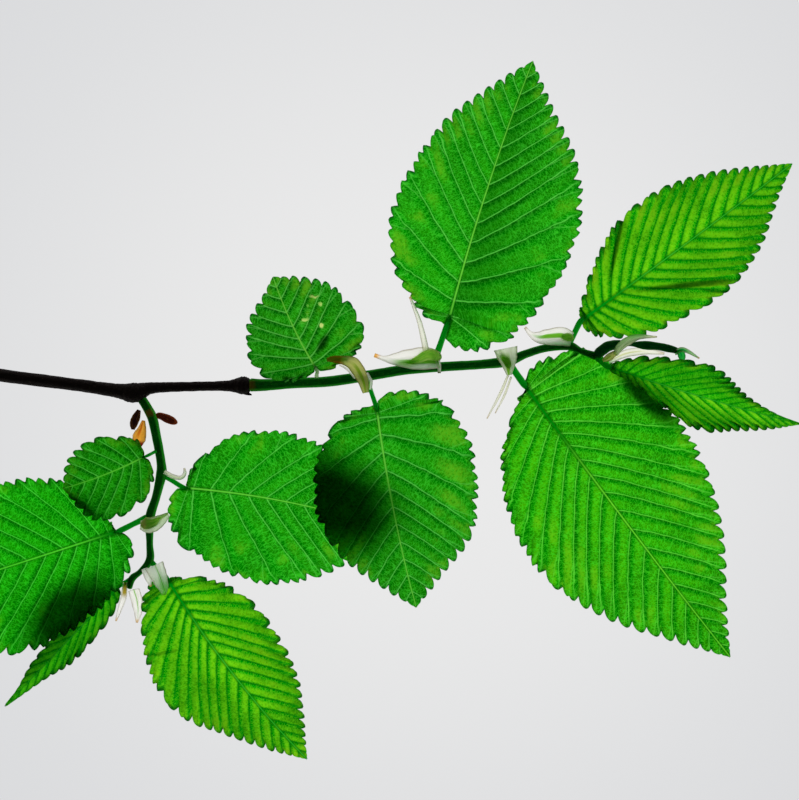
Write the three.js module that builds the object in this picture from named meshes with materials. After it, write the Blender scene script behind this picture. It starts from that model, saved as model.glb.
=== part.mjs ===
// A leafy elm twig, cut and laid down on a table: the older twig with its bark, this year's green shoot
// with six leaves and its growing tip, and a side shoot with five leaves. Papery stipules stand at the
// nodes and bud scales at the side shoot's foot. Millimetres, +Z up, +X along the twig to its tip.
// The origin is on the table, under the middle of the outline.
//
// A leaf is one closed body: its stalk, widening into a lopsided, toothed blade. Rows run across the
// blade along its side veins, from the midrib to both margins, and alternate rows are veins and the
// folds between them. Pieces that touch on a real twig keep a small gap here.

import * as THREE from 'three';

// Driving dimensions
const middleOfOutline = [0.5283, 0.0364]; // of the plan, taken off every piece so that the origin is central
const stalkHalfWidth = 0.55;
const stalkHeight = 1.0;
const tipHalfWidth = 0.3;
const thinnestShare = 0.0105;         // a blade's thickness over its length
const stipuleThickness = 0.3;
const budScaleThickness = 0.4;

// The elm blade's own proportions
const stations = [0, 0.12, 0.3, 0.5, 0.7, 0.87, 1];   // shares of its length where half-widths are given
const lobeShare = 0.12;               // share of the veins that fan into the lobes behind the stalk
const firstVein = 0.012;              // where the veins past the lobes begin, over the length
const veinCrowding = 0.25;            // how much closer the veins are at both ends of the midrib
const veinFan = 0.25;                 // share of the midrib where the veins still fan out
const veinCurve = 1.12;               // over 1, a vein bends forward towards the margin
const foldShape = 1.25;               // over 1, the halves bend down or up further out
const stalkRows = 3;
const acrossFaces = 6;
const fewestRows = 20;

const looks = {
  bark: { color: 0x2a1a12, roughness: 0.85, metalness: 0 },
  shoot: { color: 0x2f5a1e, roughness: 0.55, metalness: 0 },
  tip: { color: 0x24401a, roughness: 0.6, metalness: 0 },
  mature: { color: 0x2f8a1c, roughness: 0.5, metalness: 0 },
  young: { color: 0x7fbf22, roughness: 0.5, metalness: 0 },
  stipule: { color: 0xd6d6bd, roughness: 0.6, metalness: 0 },
  bud: { color: 0x3a1a14, roughness: 0.6, metalness: 0 },
  amber: { color: 0xb87420, roughness: 0.5, metalness: 0 },
};

// Each stem is a list of points on its axis, with its radius there.
const stems = [
  {
    name: 'older_twig', look: 'bark', sides: 12, ringsPerSpan: 3,
    axis: [
      { at: [-97.4, 11.0, 1.5], radius: 1.5 },
      { at: [-72.4, 7.6, 1.7], radius: 1.42 },
      { at: [-55.9, 5.5, 2.3], radius: 1.36 },
      { at: [-48.2, 4.4, 2.7], radius: 1.56 },
      { at: [-44.0, 3.9, 2.9], radius: 2.2 },
      { at: [-40.4, 4.9, 3.1], radius: 1.3 },
      { at: [-33.9, 5.2, 3.6], radius: 1.07 },
      { at: [-24.0, 5.4, 4.2], radius: 1.2 },
      { at: [-20.2, 5.5, 4.4], radius: 2.0 },
      { at: [-18.9, 5.5, 4.5], radius: 1.6 },
    ],
  },
  {
    name: 'main_shoot', look: 'shoot', sides: 10, ringsPerSpan: 2,
    axis: [
      { at: [-18.5, 5.6, 4.5], radius: 1.5 },
      { at: [-15.2, 5.6, 4.6], radius: 1.3 },
      { at: [-9.0, 6.0, 4.7], radius: 1.15 },
      { at: [-0.9, 6.4, 4.9], radius: 1.15 },
      { at: [8.4, 7.8, 5.1], radius: 1.15 },
      { at: [16.0, 9.0, 5.2], radius: 1.12 },
      { at: [25.5, 9.7, 5.3], radius: 1.05 },
      { at: [32.1, 10.1, 5.2], radius: 1.05 },
      { at: [38.0, 10.8, 5.2], radius: 1.15 },
      { at: [42.0, 12.4, 5.2], radius: 0.92 },
      { at: [46.4, 13.7, 5.2], radius: 0.9 },
      { at: [51.3, 14.2, 5.2], radius: 0.95 },
      { at: [54.2, 13.0, 5.2], radius: 0.72 },
      { at: [57.5, 11.9, 5.2], radius: 0.9 },
    ],
  },
  {
    name: 'end_shoot', look: 'tip', sides: 8, ringsPerSpan: 2,
    axis: [
      { at: [58.75, 12.95, 5.3], radius: 1.05 },
      { at: [61.9, 14.4, 5.8], radius: 1.05 },
      { at: [66.1, 14.4, 6.5], radius: 0.95 },
      { at: [70.8, 14.1, 7.3], radius: 0.88 },
      { at: [75.0, 13.1, 8.2], radius: 0.6 },
    ],
  },
  {
    name: 'side_shoot', look: 'shoot', sides: 10, ringsPerSpan: 2,
    axis: [
      { at: [-41.9, 1.5, 2.9], radius: 1.0 },
      { at: [-40.0, -1.8, 3.4], radius: 1.1 },
      { at: [-39.1, -5.7, 4.0], radius: 1.05 },
      { at: [-38.1, -11.0, 4.5], radius: 1.0 },
      { at: [-38.0, -14.0, 4.7], radius: 1.15 },
      { at: [-39.1, -19.0, 5.0], radius: 0.95 },
      { at: [-40.4, -23.4, 5.2], radius: 1.05 },
      { at: [-40.5, -29.0, 5.2], radius: 0.77 },
      { at: [-40.5, -32.8, 5.0], radius: 0.9 },
      { at: [-42.6, -35.4, 4.8], radius: 0.65 },
      { at: [-44.4, -36.9, 4.6], radius: 0.75 },
      { at: [-45.0, -39.6, 4.2], radius: 0.6 },
    ],
  },
  {
    name: 'side_bud', look: 'bud', sides: 8, ringsPerSpan: 2,
    axis: [
      { at: [-38.2, -1.3, 3.4], radius: 0.8 },
      { at: [-36.8, -1.9, 3.5], radius: 0.95 },
      { at: [-35.3, -2.5, 3.6], radius: 0.7 },
      { at: [-34.6, -2.9, 3.6], radius: 0.25 },
    ],
  },
];

// Each leaf has the node that it grows from, the foot of its blade, the way that the blade points and
// its length. bow is how far the midrib bends to the left, tipHeight and arch give its height, and
// edges are how far its left and right margins stand above the midrib. left and right are half-widths
// at the stations, with the base lobes behind them.
const leaves = [
  {
    name: 'main_leaf_1', look: 'mature', node: [-4.1, 6.4, 4.8], stalkStart: 1.75,
    foot: [-4.1, 9.4, 7.6], heading: 115.3, length: 22.1, bow: 0.6, tipHeight: 1.2, arch: 1.8,
    left: [4.5, 10.5, 11.9, 10.9, 8.5, 3.4], right: [11.5, 13.2, 14, 13.3, 11.2, 5.8],
    lobes: [1.3, 2.1], edges: [-0.6, -1.4], veinAngle: 48, veins: 8, pleat: 0.15, tooth: 0.7,
  },
  {
    name: 'main_leaf_2', look: 'mature', node: [6.9, 7.4, 5.0], stalkStart: 1.8,
    foot: [9.4, -0.2, 4.5], heading: -78.8, length: 44.1, bow: -0.7, tipHeight: 0, arch: 3.2,
    left: [14.5, 17.8, 19.7, 18.9, 15.7, 6.9], right: [9.4, 13.5, 16.4, 16.5, 12.6, 5.8],
    lobes: [3.9, 1.4], edges: [-3.2, -0.9], veinAngle: 47, veins: 10, pleat: 0.2, tooth: 1.0,
  },
  {
    name: 'main_leaf_3', look: 'mature', node: [23.2, 9.9, 5.3], stalkStart: 1.8,
    foot: [25.2, 20.1, 6.6], heading: 72, length: 59.9, bow: 0.9, tipHeight: 0, arch: 4.5,
    left: [8.6, 15, 18.8, 17.4, 13.4, 6.3], right: [14.4, 18.1, 21.6, 21.8, 16.6, 6.9],
    lobes: [1.3, 5.2], edges: [-2.6, -1.5], veinAngle: 42, veins: 14, pleat: 0.2, tooth: 1.2,
  },
  {
    name: 'main_leaf_4', look: 'mature', node: [38.0, 10.6, 5.2], stalkStart: 1.9,
    foot: [42.1, 5.1, 4.8], heading: -52.8, length: 74.7, bow: -0.5, tipHeight: 0, arch: 3.2,
    left: [14.5, 18.5, 22.2, 21.6, 15.4, 6.3], right: [3.4, 13.6, 20.6, 21.5, 15.6, 7],
    lobes: [3.0, 0.6], edges: [-3.2, -2.8], veinAngle: 38, veins: 17, pleat: 0.2, tooth: 1.3,
  },
  {
    name: 'main_leaf_5', look: 'young', node: [51.3, 14.2, 5.2], stalkStart: 1.7,
    foot: [54.7, 20.1, 6.4], heading: 36.6, length: 57.6, bow: -0.1, tipHeight: 0, arch: 5.0,
    left: [3, 7.2, 12.8, 13.4, 10, 4.6], right: [5.6, 10.4, 12.9, 14, 10.6, 4.2],
    lobes: [0.5, 0.9], edges: [-1.6, -1.6], veinAngle: 35, veins: 17, pleat: 0.6, tooth: 1.0,
  },
  {
    name: 'main_leaf_6', look: 'young', node: [57.5, 11.9, 5.2], stalkStart: 1.7,
    foot: [60.8, 9.4, 5.2], heading: -16.6, length: 43.2, bow: -0.5, tipHeight: 3.2, arch: 1.2,
    left: [2, 5.6, 8.2, 6.4, 2.7, 0.8], right: [2, 3.2, 5.5, 7.4, 4.9, 2.5],
    lobes: [0.2, 0.2], edges: [6, 4.6], veinAngle: 24, veins: 15, pleat: 0.5, tooth: 0.7,
  },
  {
    name: 'side_leaf_1', look: 'mature', node: [-38.5, -8.6, 4.3], stalkStart: 1.8,
    foot: [-41.7, -10.2, 6.6], heading: -158.6, length: 18.7, bow: 0.5, tipHeight: 8.8, arch: 0.5,
    left: [5.5, 7.9, 9.2, 9.8, 9.2, 7], right: [4.4, 5.8, 7.5, 8.3, 7.2, 4.8],
    lobes: [1.4, 0.6], edges: [-0.4, -0.6], veinAngle: 46, veins: 7, pleat: 0.15, tooth: 0.6,
  },
  {
    name: 'side_leaf_2', look: 'mature', node: [-37.9, -14.0, 4.7], stalkStart: 1.8,
    foot: [-32.4, -17.0, 4.8], heading: -11.7, length: 45.6, bow: 1.4, tipHeight: 0, arch: 0.4,
    left: [5.5, 11.6, 14.8, 14.9, 11.8, 5], right: [12.3, 15.2, 18.4, 18.7, 14.8, 8],
    lobes: [0.4, 3.3], edges: [-1.4, -2.4], veinAngle: 45, veins: 10, pleat: 0.2, tooth: 1.0,
  },
  {
    name: 'side_leaf_3', look: 'mature', node: [-40.6, -23.2, 5.2], stalkStart: 1.6,
    foot: [-47.6, -26.5, 6.4], heading: -162.1, length: 56.6, bow: 0, tipHeight: 0, arch: 5.2,
    left: [9, 14.2, 18, 19, 14.5, 6.5], right: [4, 13.2, 17.6, 18, 13, 6],
    lobes: [2.6, 0.4], edges: [-1.1, -3.0], veinAngle: 42, veins: 14, pleat: 0.2, tooth: 1.2,
  },
  {
    name: 'side_leaf_4', look: 'young', node: [-40.4, -33.0, 5.0], stalkStart: 1.6,
    foot: [-36.4, -37.3, 5.0], heading: -52.7, length: 49.8, bow: -1.0, tipHeight: 0, arch: 4.2,
    left: [2.8, 9.3, 12.9, 12.8, 10.2, 4.7], right: [9.2, 12.2, 15.6, 15.4, 9.6, 4.5],
    lobes: [0.4, 2.2], edges: [-1.8, -2.2], veinAngle: 36, veins: 15, pleat: 0.6, tooth: 0.9,
  },
  {
    name: 'side_leaf_5', look: 'young', node: [-44.4, -36.9, 4.6], stalkStart: 2.1,
    foot: [-47.6, -39.0, 4.3], heading: -133.8, length: 36.3, bow: 0.1, tipHeight: 0, arch: 0.8,
    left: [1.2, 3.1, 3.9, 4, 2.2, 1], right: [0.8, 2.6, 3.2, 2.8, 2.2, 0.7],
    lobes: [0.1, 0.1], edges: [4.2, 2.4], veinAngle: 26, veins: 12, pleat: 0.4, tooth: 0.5,
  },
];

// Stipules and bud scales: thin blades along a line of points, each with its half-width.
const scales = [
  {
    name: 'stipule_main_2', look: 'stipule', thickness: stipuleThickness,
    line: [[7.4, 4.9, 6.5], [6.2, 7.2, 6.9], [5.0, 9.9, 7.2], [2.2, 11.1, 7.9], [-1.2, 11.3, 8.5]],
    halfWidths: [0.9, 1.5, 1.4, 1.1, 0.35],
  },
  {
    name: 'stipule_main_3', look: 'stipule', thickness: stipuleThickness,
    line: [[22.6, 11.4, 6.9], [19.5, 11.8, 7.0], [16.2, 10.9, 7.0], [12.4, 11.1, 7.0], [8.9, 12.0, 7.3]],
    halfWidths: [1.4, 2.2, 1.9, 0.9, 0.4],
  },
  {
    name: 'stipule_main_3_long', look: 'stipule', thickness: stipuleThickness,
    line: [[20.6, 13.2, 7.7], [18.8, 19.5, 7.3], [16.6, 24.9, 6.6]],
    halfWidths: [0.9, 0.7, 0.3],
  },
  {
    name: 'stipule_main_4', look: 'stipule', thickness: stipuleThickness,
    line: [[38.6, 8.6, 6.5], [38.0, 10.6, 6.9], [37.4, 12.6, 7.0], [37.0, 13.4, 7.0]],
    halfWidths: [0.5, 1.5, 2.3, 1.6],
  },
  {
    name: 'stipule_main_5', look: 'stipule', thickness: stipuleThickness,
    line: [[51.8, 16.0, 6.7], [49.6, 16.2, 6.7], [46.3, 16.0, 6.7], [43.4, 16.6, 5.9], [42.5, 17.2, 5.4]],
    halfWidths: [1.1, 1.8, 1.5, 0.6, 0.3],
  },
  {
    name: 'stipule_main_6', look: 'stipule', thickness: stipuleThickness,
    line: [[61.5, 12.4, 7.5], [62.2, 14.0, 7.9], [63.7, 15.5, 7.8], [66.8, 16.4, 7.8], [70.3, 16.3, 7.8]],
    halfWidths: [0.4, 1.1, 1.1, 0.65, 0.25],
  },
  {
    name: 'stipule_side_2', look: 'stipule', thickness: stipuleThickness,
    line: [[-37.0, -13.4, 6.4], [-35.2, -12.9, 6.6], [-33.4, -13.9, 6.7], [-32.4, -15.2, 6.5]],
    halfWidths: [0.7, 0.8, 0.6, 0.3],
  },
  {
    name: 'stipule_side_3', look: 'stipule', thickness: stipuleThickness,
    line: [[-42.4, -24.9, 6.9], [-40.6, -24.5, 6.8], [-38.4, -23.9, 6.6], [-36.2, -22.6, 6.5]],
    halfWidths: [0.9, 1.3, 1.2, 0.3],
  },
  {
    name: 'stipule_side_4', look: 'stipule', thickness: stipuleThickness,
    line: [[-40.8, -34.2, 6.4], [-39.5, -36.2, 6.5], [-38.2, -38.0, 6.6], [-36.9, -39.9, 6.7]],
    halfWidths: [1.1, 2.0, 1.5, 0.5],
  },
  {
    name: 'stipule_side_5_left', look: 'stipule', thickness: stipuleThickness,
    line: [[-45.6, -40.3, 4.0], [-46.6, -43.0, 3.0], [-48.3, -46.3, 1.6]],
    halfWidths: [0.5, 0.5, 0.2],
  },
  {
    name: 'stipule_side_5_right', look: 'stipule', thickness: stipuleThickness,
    line: [[-44.1, -40.6, 2.7], [-43.7, -43.2, 1.9], [-43.6, -46.5, 1.0]],
    halfWidths: [0.7, 1.0, 0.3],
  },
  {
    name: 'bud_scale_dark', look: 'bud', thickness: budScaleThickness,
    line: [[-43.5, 0.5, 2.6], [-44.1, -1.8, 2.4], [-44.4, -4.2, 2.0]],
    halfWidths: [0.5, 0.8, 0.4],
  },
  {
    name: 'bud_scale_amber', look: 'amber', thickness: budScaleThickness,
    line: [[-41.5, -1.8, 4.6], [-42.0, -4.6, 4.7], [-42.7, -7.6, 4.9]],
    halfWidths: [0.35, 1.2, 0.9],
  },
];

const worldUp = new THREE.Vector3(0, 0, 1);

// A smooth curve through the values ys at the places xs, read at x.
function smoothThrough(xs, ys, x) {
  let i = 0;
  while (i < xs.length - 2 && x > xs[i + 1]) i += 1;
  const slopeAt = (k) => {
    const before = Math.max(k - 1, 0);
    const after = Math.min(k + 1, xs.length - 1);
    return (ys[after] - ys[before]) / (xs[after] - xs[before]);
  };
  const span = xs[i + 1] - xs[i];
  const t = THREE.MathUtils.clamp((x - xs[i]) / span, 0, 1);
  const rise = t * t * (3 - 2 * t);
  const leaving = t * (1 - t) * (1 - t) * span * slopeAt(i);
  const arriving = t * t * (t - 1) * span * slopeAt(i + 1);
  return ys[i] + (ys[i + 1] - ys[i]) * rise + leaving + arriving;
}

// Where the vein q leaves the midrib, in millimetres from the blade's foot.
function rootOf(leaf, q) {
  if (q < lobeShare) return leaf.length * firstVein * (q / lobeShare);
  const past = (q - lobeShare) / (1 - lobeShare);
  const place = past - veinCrowding * Math.sin(2 * Math.PI * past) / (2 * Math.PI);
  return leaf.length * (firstVein + (1 - firstVein) * place);
}

// The half-width on one side, so many millimetres along the blade.
function halfWidthAt(leaf, side, along) {
  return smoothThrough(stations, [...leaf[side], tipHalfWidth], along / leaf.length);
}

// Where the vein q meets a margin: how far along the blade, and how far out from the midrib. The first
// veins fan round the lobe; each of the others runs out at its angle until it is as far out as the blade.
function marginOf(leaf, side, q) {
  const lobe = leaf.lobes[side === 'left' ? 0 : 1];
  if (q < lobeShare) {
    const turn = Math.PI * (q / lobeShare);
    const share = Math.sin(turn / 2);
    const widest = halfWidthAt(leaf, side, leaf.length * firstVein);
    return {
      along: leaf.length * firstVein * share - lobe * Math.sin(turn),
      out: stalkHalfWidth + (widest - stalkHalfWidth) * share,
    };
  }
  const past = (q - lobeShare) / (1 - lobeShare);
  const fanned = Math.max(0, 1 - past / veinFan) ** 2;
  const angle = THREE.MathUtils.degToRad(leaf.veinAngle + (90 - leaf.veinAngle) * fanned);
  const root = rootOf(leaf, q);
  let near = root;
  let far = root + leaf.length;
  for (let step = 0; step < 40; step += 1) {
    const middle = (near + far) / 2;
    if (middle - root < halfWidthAt(leaf, side, middle) / Math.tan(angle)) near = middle;
    else far = middle;
  }
  return { along: near, out: halfWidthAt(leaf, side, near) };
}

// The middle of the blade's thickness at the vein q and the share s of the way to a margin, left
// positive, before folds and teeth.
function bladePoint(leaf, q, s) {
  const side = s >= 0 ? 'left' : 'right';
  const share = Math.abs(s);
  const margin = marginOf(leaf, side, q);
  const root = rootOf(leaf, q);
  const along = root + (margin.along - root) * share ** veinCurve;
  const out = Math.max(margin.out, tipHalfWidth) * s;
  const a = THREE.MathUtils.clamp(along / leaf.length, 0, 1);
  const hump = 4 * a * (1 - a);
  const heading = THREE.MathUtils.degToRad(leaf.heading);
  const sideways = out + leaf.bow * hump;
  const widest = Math.max(...leaf[side]);
  const edge = leaf.edges[side === 'left' ? 0 : 1];
  const midribHeight = leaf.foot[2] + (leaf.tipHeight - leaf.foot[2]) * a + leaf.arch * hump;
  return new THREE.Vector3(
    leaf.foot[0] + Math.cos(heading) * along - Math.sin(heading) * sideways,
    leaf.foot[1] + Math.sin(heading) * along + Math.cos(heading) * sideways,
    midribHeight + edge * share ** foldShape * (margin.out / widest),
  );
}

// The blade's upward normal there, from the slopes along and across it.
function bladeNormal(leaf, q, s) {
  const step = 0.02;
  const q0 = Math.max(q - step, 0);
  const q1 = Math.min(q + step, 1);
  const s0 = Math.max(s - step, s > 0 ? 0 : -1);
  const s1 = Math.min(s + step, s > 0 ? 1 : 0);
  const alongBlade = bladePoint(leaf, q1, s).sub(bladePoint(leaf, q0, s));
  const acrossBlade = bladePoint(leaf, q, s1).sub(bladePoint(leaf, q, s0));
  const normal = alongBlade.cross(acrossBlade).normalize();
  return normal.z < 0 ? normal.negate() : normal;
}

// A leaf as a box whose faces are moved into place: rows of the stalk first, then rows of the blade.
function makeLeaf(leaf) {
  const bladeRows = Math.max(fewestRows, 2 * leaf.veins);
  const rows = stalkRows + bladeRows;
  const thickness = thinnestShare * leaf.length;
  const foot = new THREE.Vector3(...leaf.foot);
  const node = new THREE.Vector3(...leaf.node);
  const stalkWay = foot.clone().sub(node).normalize();
  const stalkFoot = node.clone().addScaledVector(stalkWay, leaf.stalkStart);
  const heading = THREE.MathUtils.degToRad(leaf.heading);
  const leftWay = new THREE.Vector3(-Math.sin(heading), Math.cos(heading), 0);
  const box = new THREE.BoxGeometry(1, 1, 1, acrossFaces, rows, 1);
  const place = box.attributes.position;
  for (let i = 0; i < place.count; i += 1) {
    const s = -2 * place.getX(i);
    const row = Math.round((place.getY(i) + 0.5) * rows);
    const up = place.getZ(i) > 0 ? 1 : -1;
    let point;
    if (row <= stalkRows) {
      const round = Math.sqrt(1.12 - s * s);
      point = stalkFoot.clone().lerp(foot, row / stalkRows);
      point.addScaledVector(leftWay, s * stalkHalfWidth);
      point.z += up * (stalkHeight / 2) * round;
    } else {
      const bladeRow = row - stalkRows;
      const q = bladeRow / bladeRows;
      const crest = bladeRow % 2 === 0 ? 1 : -1;
      const inside = bladeRow < bladeRows ? 1 : 0;
      const normal = bladeNormal(leaf, q, s);
      point = bladePoint(leaf, q, s);
      const small = Math.min(1, marginOf(leaf, s >= 0 ? 'left' : 'right', q).out / 5);
      if (Math.abs(s) > 0.99) {
        const outward = Math.sign(s) * crest * inside * small * (leaf.tooth / 2);
        point.addScaledVector(leftWay, outward);
      }
      const fold = -crest * inside * small * leaf.pleat * Math.min(1, 2 * Math.abs(s));
      point.addScaledVector(normal, fold + up * (thickness / 2));
      point.z = Math.max(point.z, up > 0 ? thickness : 0);
    }
    place.setXYZ(i, point.x, point.y, point.z);
  }
  return box;
}

// A round stem that tapers from ring to ring along a curve through its axis.
function makeStem(stem) {
  const spans = stem.axis.length - 1;
  const curve = new THREE.CatmullRomCurve3(stem.axis.map(({ at }) => new THREE.Vector3(...at)));
  const places = stem.axis.map((_, k) => k / spans);
  const radii = stem.axis.map(({ radius }) => radius);
  const rod = new THREE.CylinderGeometry(1, 1, 1, stem.sides, spans * stem.ringsPerSpan);
  const place = rod.attributes.position;
  for (let i = 0; i < place.count; i += 1) {
    const t = place.getY(i) + 0.5;
    const along = curve.getTangent(t).normalize();
    const sideways = along.clone().cross(worldUp).normalize();
    const upwards = sideways.clone().cross(along);
    const radius = smoothThrough(places, radii, t);
    const point = curve.getPoint(t);
    point.addScaledVector(sideways, place.getX(i) * radius);
    point.addScaledVector(upwards, place.getZ(i) * radius);
    place.setXYZ(i, point.x, point.y, Math.max(point.z, 0));
  }
  return rod;
}

// A thin blade along a curve, for a stipule or a bud scale.
function makeScale(scale) {
  const spans = scale.line.length - 1;
  const curve = new THREE.CatmullRomCurve3(scale.line.map((at) => new THREE.Vector3(...at)));
  const places = scale.line.map((_, k) => k / spans);
  const box = new THREE.BoxGeometry(1, 1, 1, 2, 2 * spans, 1);
  const place = box.attributes.position;
  for (let i = 0; i < place.count; i += 1) {
    const t = place.getY(i) + 0.5;
    const along = curve.getTangent(t).normalize();
    const sideways = along.clone().cross(worldUp).normalize();
    const upwards = sideways.clone().cross(along);
    const point = curve.getPoint(t);
    point.addScaledVector(sideways, 2 * place.getX(i) * smoothThrough(places, scale.halfWidths, t));
    point.addScaledVector(upwards, place.getZ(i) * scale.thickness);
    place.setXYZ(i, point.x, point.y, point.z);
  }
  return box;
}

const twig = new THREE.Group();
twig.position.set(-middleOfOutline[0], -middleOfOutline[1], 0);

function addPiece(piece, geometry) {
  const mesh = new THREE.Mesh(geometry, new THREE.MeshStandardMaterial(looks[piece.look]));
  mesh.name = piece.name;
  twig.add(mesh);
}

stems.forEach((stem) => addPiece(stem, makeStem(stem)));
leaves.forEach((leaf) => addPiece(leaf, makeLeaf(leaf)));
scales.forEach((scale) => addPiece(scale, makeScale(scale)));

export default twig;
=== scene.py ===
# A cut elm twig in leaf, laid on a light table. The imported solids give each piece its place;
# here the leaves get their teeth and veins, the stems their bark, and the nodes their stipules.
import math
import random

import bmesh
import bpy
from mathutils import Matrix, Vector, noise


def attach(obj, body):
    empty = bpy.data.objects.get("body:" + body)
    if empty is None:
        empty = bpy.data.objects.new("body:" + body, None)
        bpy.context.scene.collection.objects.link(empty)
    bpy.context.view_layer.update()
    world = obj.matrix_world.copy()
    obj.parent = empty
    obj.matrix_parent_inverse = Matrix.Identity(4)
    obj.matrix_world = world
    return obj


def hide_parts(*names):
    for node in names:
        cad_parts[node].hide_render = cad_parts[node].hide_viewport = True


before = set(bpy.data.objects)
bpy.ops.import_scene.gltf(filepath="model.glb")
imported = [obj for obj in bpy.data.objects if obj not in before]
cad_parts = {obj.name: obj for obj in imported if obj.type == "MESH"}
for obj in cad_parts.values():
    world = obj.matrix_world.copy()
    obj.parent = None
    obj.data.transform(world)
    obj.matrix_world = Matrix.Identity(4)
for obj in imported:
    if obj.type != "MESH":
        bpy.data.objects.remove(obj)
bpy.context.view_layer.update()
print("frame loaded:", len(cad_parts), "nodes")

millimetre = 0.001
middleOfOutline = Vector((0.5283, 0.0364, 0))  # the origin, in the plan that the numbers below use
worldUp = Vector((0, 0, 1))


def placed(point):
    return (Vector(point) - middleOfOutline) * millimetre


def smoothThrough(xs, ys, x):
    i = 0
    while i < len(xs) - 2 and x > xs[i + 1]:
        i += 1

    def slopeAt(k):
        before, after = max(k - 1, 0), min(k + 1, len(xs) - 1)
        return (ys[after] - ys[before]) / (xs[after] - xs[before])

    span = xs[i + 1] - xs[i]
    t = min(max((x - xs[i]) / span, 0), 1)
    rise = t * t * (3 - 2 * t)
    leaving = t * (1 - t) * (1 - t) * span * slopeAt(i)
    arriving = t * t * (t - 1) * span * slopeAt(i + 1)
    return ys[i] + (ys[i + 1] - ys[i]) * rise + leaving + arriving


def alongList(values, t):
    return smoothThrough([k / (len(values) - 1) for k in range(len(values))], values, t)


def pathPoint(points, t):
    return Vector([alongList([point[axis] for point in points], t) for axis in range(3)])


def pathTangent(points, t):
    return (pathPoint(points, min(t + 0.01, 1)) - pathPoint(points, max(t - 0.01, 0))).normalized()


def pathLength(points):
    return sum((Vector(points[k + 1]) - Vector(points[k])).length for k in range(len(points) - 1))


def softStep(low, high, x):
    t = min(max((x - low) / (high - low), 0), 1)
    return t * t * (3 - 2 * t)


# Short names for the material nodes that the finishes below are made of.
def fromScreen(red, green, blue):
    def linear(value):
        share = value / 255
        return share / 12.92 if share <= 0.04045 else ((share + 0.055) / 1.055) ** 2.4
    return (linear(red), linear(green), linear(blue), 1)


def addNode(tree, kind, **settings):
    node = tree.nodes.new(kind)
    for name, value in settings.items():
        setattr(node, name, value)
    return node


def feed(socket, value):
    # a colour of three numbers is as a screen shows it, one of four is linear
    if isinstance(value, Signal):
        socket.id_data.links.new(value.socket, socket)
    else:
        socket.default_value = fromScreen(*value) if isinstance(value, tuple) and len(value) == 3 else value


def maths(tree, operation, *values):
    node = addNode(tree, "ShaderNodeMath", operation=operation)
    for socket, value in zip(node.inputs, values):
        feed(socket, value)
    return Signal(node.outputs[0])


def blendColours(tree, first, second, amount, blend="MIX"):
    node = addNode(tree, "ShaderNodeMix", data_type="RGBA", blend_type=blend)
    firstColour, secondColour, outColour = node.inputs[6], node.inputs[7], node.outputs[2]
    feed(node.inputs["Factor"], amount)
    feed(firstColour, first)
    feed(secondColour, second)
    return Signal(outColour)


class Signal:
    # a value in a node tree, so that a material's sums are written as sums
    def __init__(self, socket):
        self.tree, self.socket = socket.id_data, socket

    def __add__(self, other):
        return self.maths("ADD", other)

    def __sub__(self, other):
        return self.maths("SUBTRACT", other)

    def __rsub__(self, other):
        return maths(self.tree, "SUBTRACT", other, self)

    def __mul__(self, other):
        return self.maths("MULTIPLY", other)

    def __truediv__(self, other):
        return self.maths("DIVIDE", other)

    def __pow__(self, other):
        return self.maths("POWER", other)

    def __abs__(self):
        return self.maths("ABSOLUTE")

    def maths(self, operation, *others):
        return maths(self.tree, operation, self, *others)

    def blended(self, other, amount, blend="MIX"):
        return blendColours(self.tree, self, other, amount, blend)

    def ramped(self, low, high, fromLow=0.0, toHigh=1.0):
        node = addNode(self.tree, "ShaderNodeMapRange", interpolation_type="SMOOTHSTEP")
        for name, given in (("Value", self), ("From Min", low), ("From Max", high),
                            ("To Min", fromLow), ("To Max", toHigh)):
            feed(node.inputs[name], given)
        return Signal(node.outputs["Result"])


def joined(x, y, z=0.0):
    node = addNode(x.tree, "ShaderNodeCombineXYZ")
    for socket, value in zip(node.inputs, (x, y, z)):
        feed(socket, value)
    return Signal(node.outputs[0])


def partsOf(vector):
    node = addNode(vector.tree, "ShaderNodeSeparateXYZ")
    feed(node.inputs[0], vector)
    return [Signal(output) for output in node.outputs]


def uvParts(tree, name):
    return partsOf(Signal(addNode(tree, "ShaderNodeUVMap", uv_map=name).outputs[0]))[:2]


def objectPlace(tree):
    return Signal(addNode(tree, "ShaderNodeTexCoord").outputs["Object"])


def noiseOf(vector, scale, detail=2.0, roughness=0.5):
    node = addNode(vector.tree, "ShaderNodeTexNoise")
    for name, value in (("Vector", vector), ("Scale", scale), ("Detail", detail), ("Roughness", roughness)):
        feed(node.inputs[name], value)
    return Signal(node.outputs["Fac"])


def newGroup(name, inputs, outputs):
    # an input without a number is a colour
    tree = bpy.data.node_groups.new(name, "ShaderNodeTree")
    for label, value in inputs.items():
        kind = "NodeSocketFloat" if isinstance(value, (int, float)) else "NodeSocketColor"
        socket = tree.interface.new_socket(name=label, in_out="INPUT", socket_type=kind)
        if value is not None:
            socket.default_value = value
    for label in outputs:
        kind = "NodeSocketColor" if label == "Color" else "NodeSocketFloat"
        tree.interface.new_socket(name=label, in_out="OUTPUT", socket_type=kind)
    given = {socket.name: Signal(socket) for socket in addNode(tree, "NodeGroupInput").outputs}
    return tree, given, addNode(tree, "NodeGroupOutput").inputs


def placeGroup(tree, group, values):
    node = addNode(tree, "ShaderNodeGroup", node_tree=group)
    for name, value in values.items():
        feed(node.inputs[name], value)
    return {socket.name: Signal(socket) for socket in node.outputs}


def newMaterial(name):
    material = bpy.data.materials.new(name)
    material.use_nodes = True
    tree = material.node_tree
    return material, tree, tree.nodes["Principled BSDF"]


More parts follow.
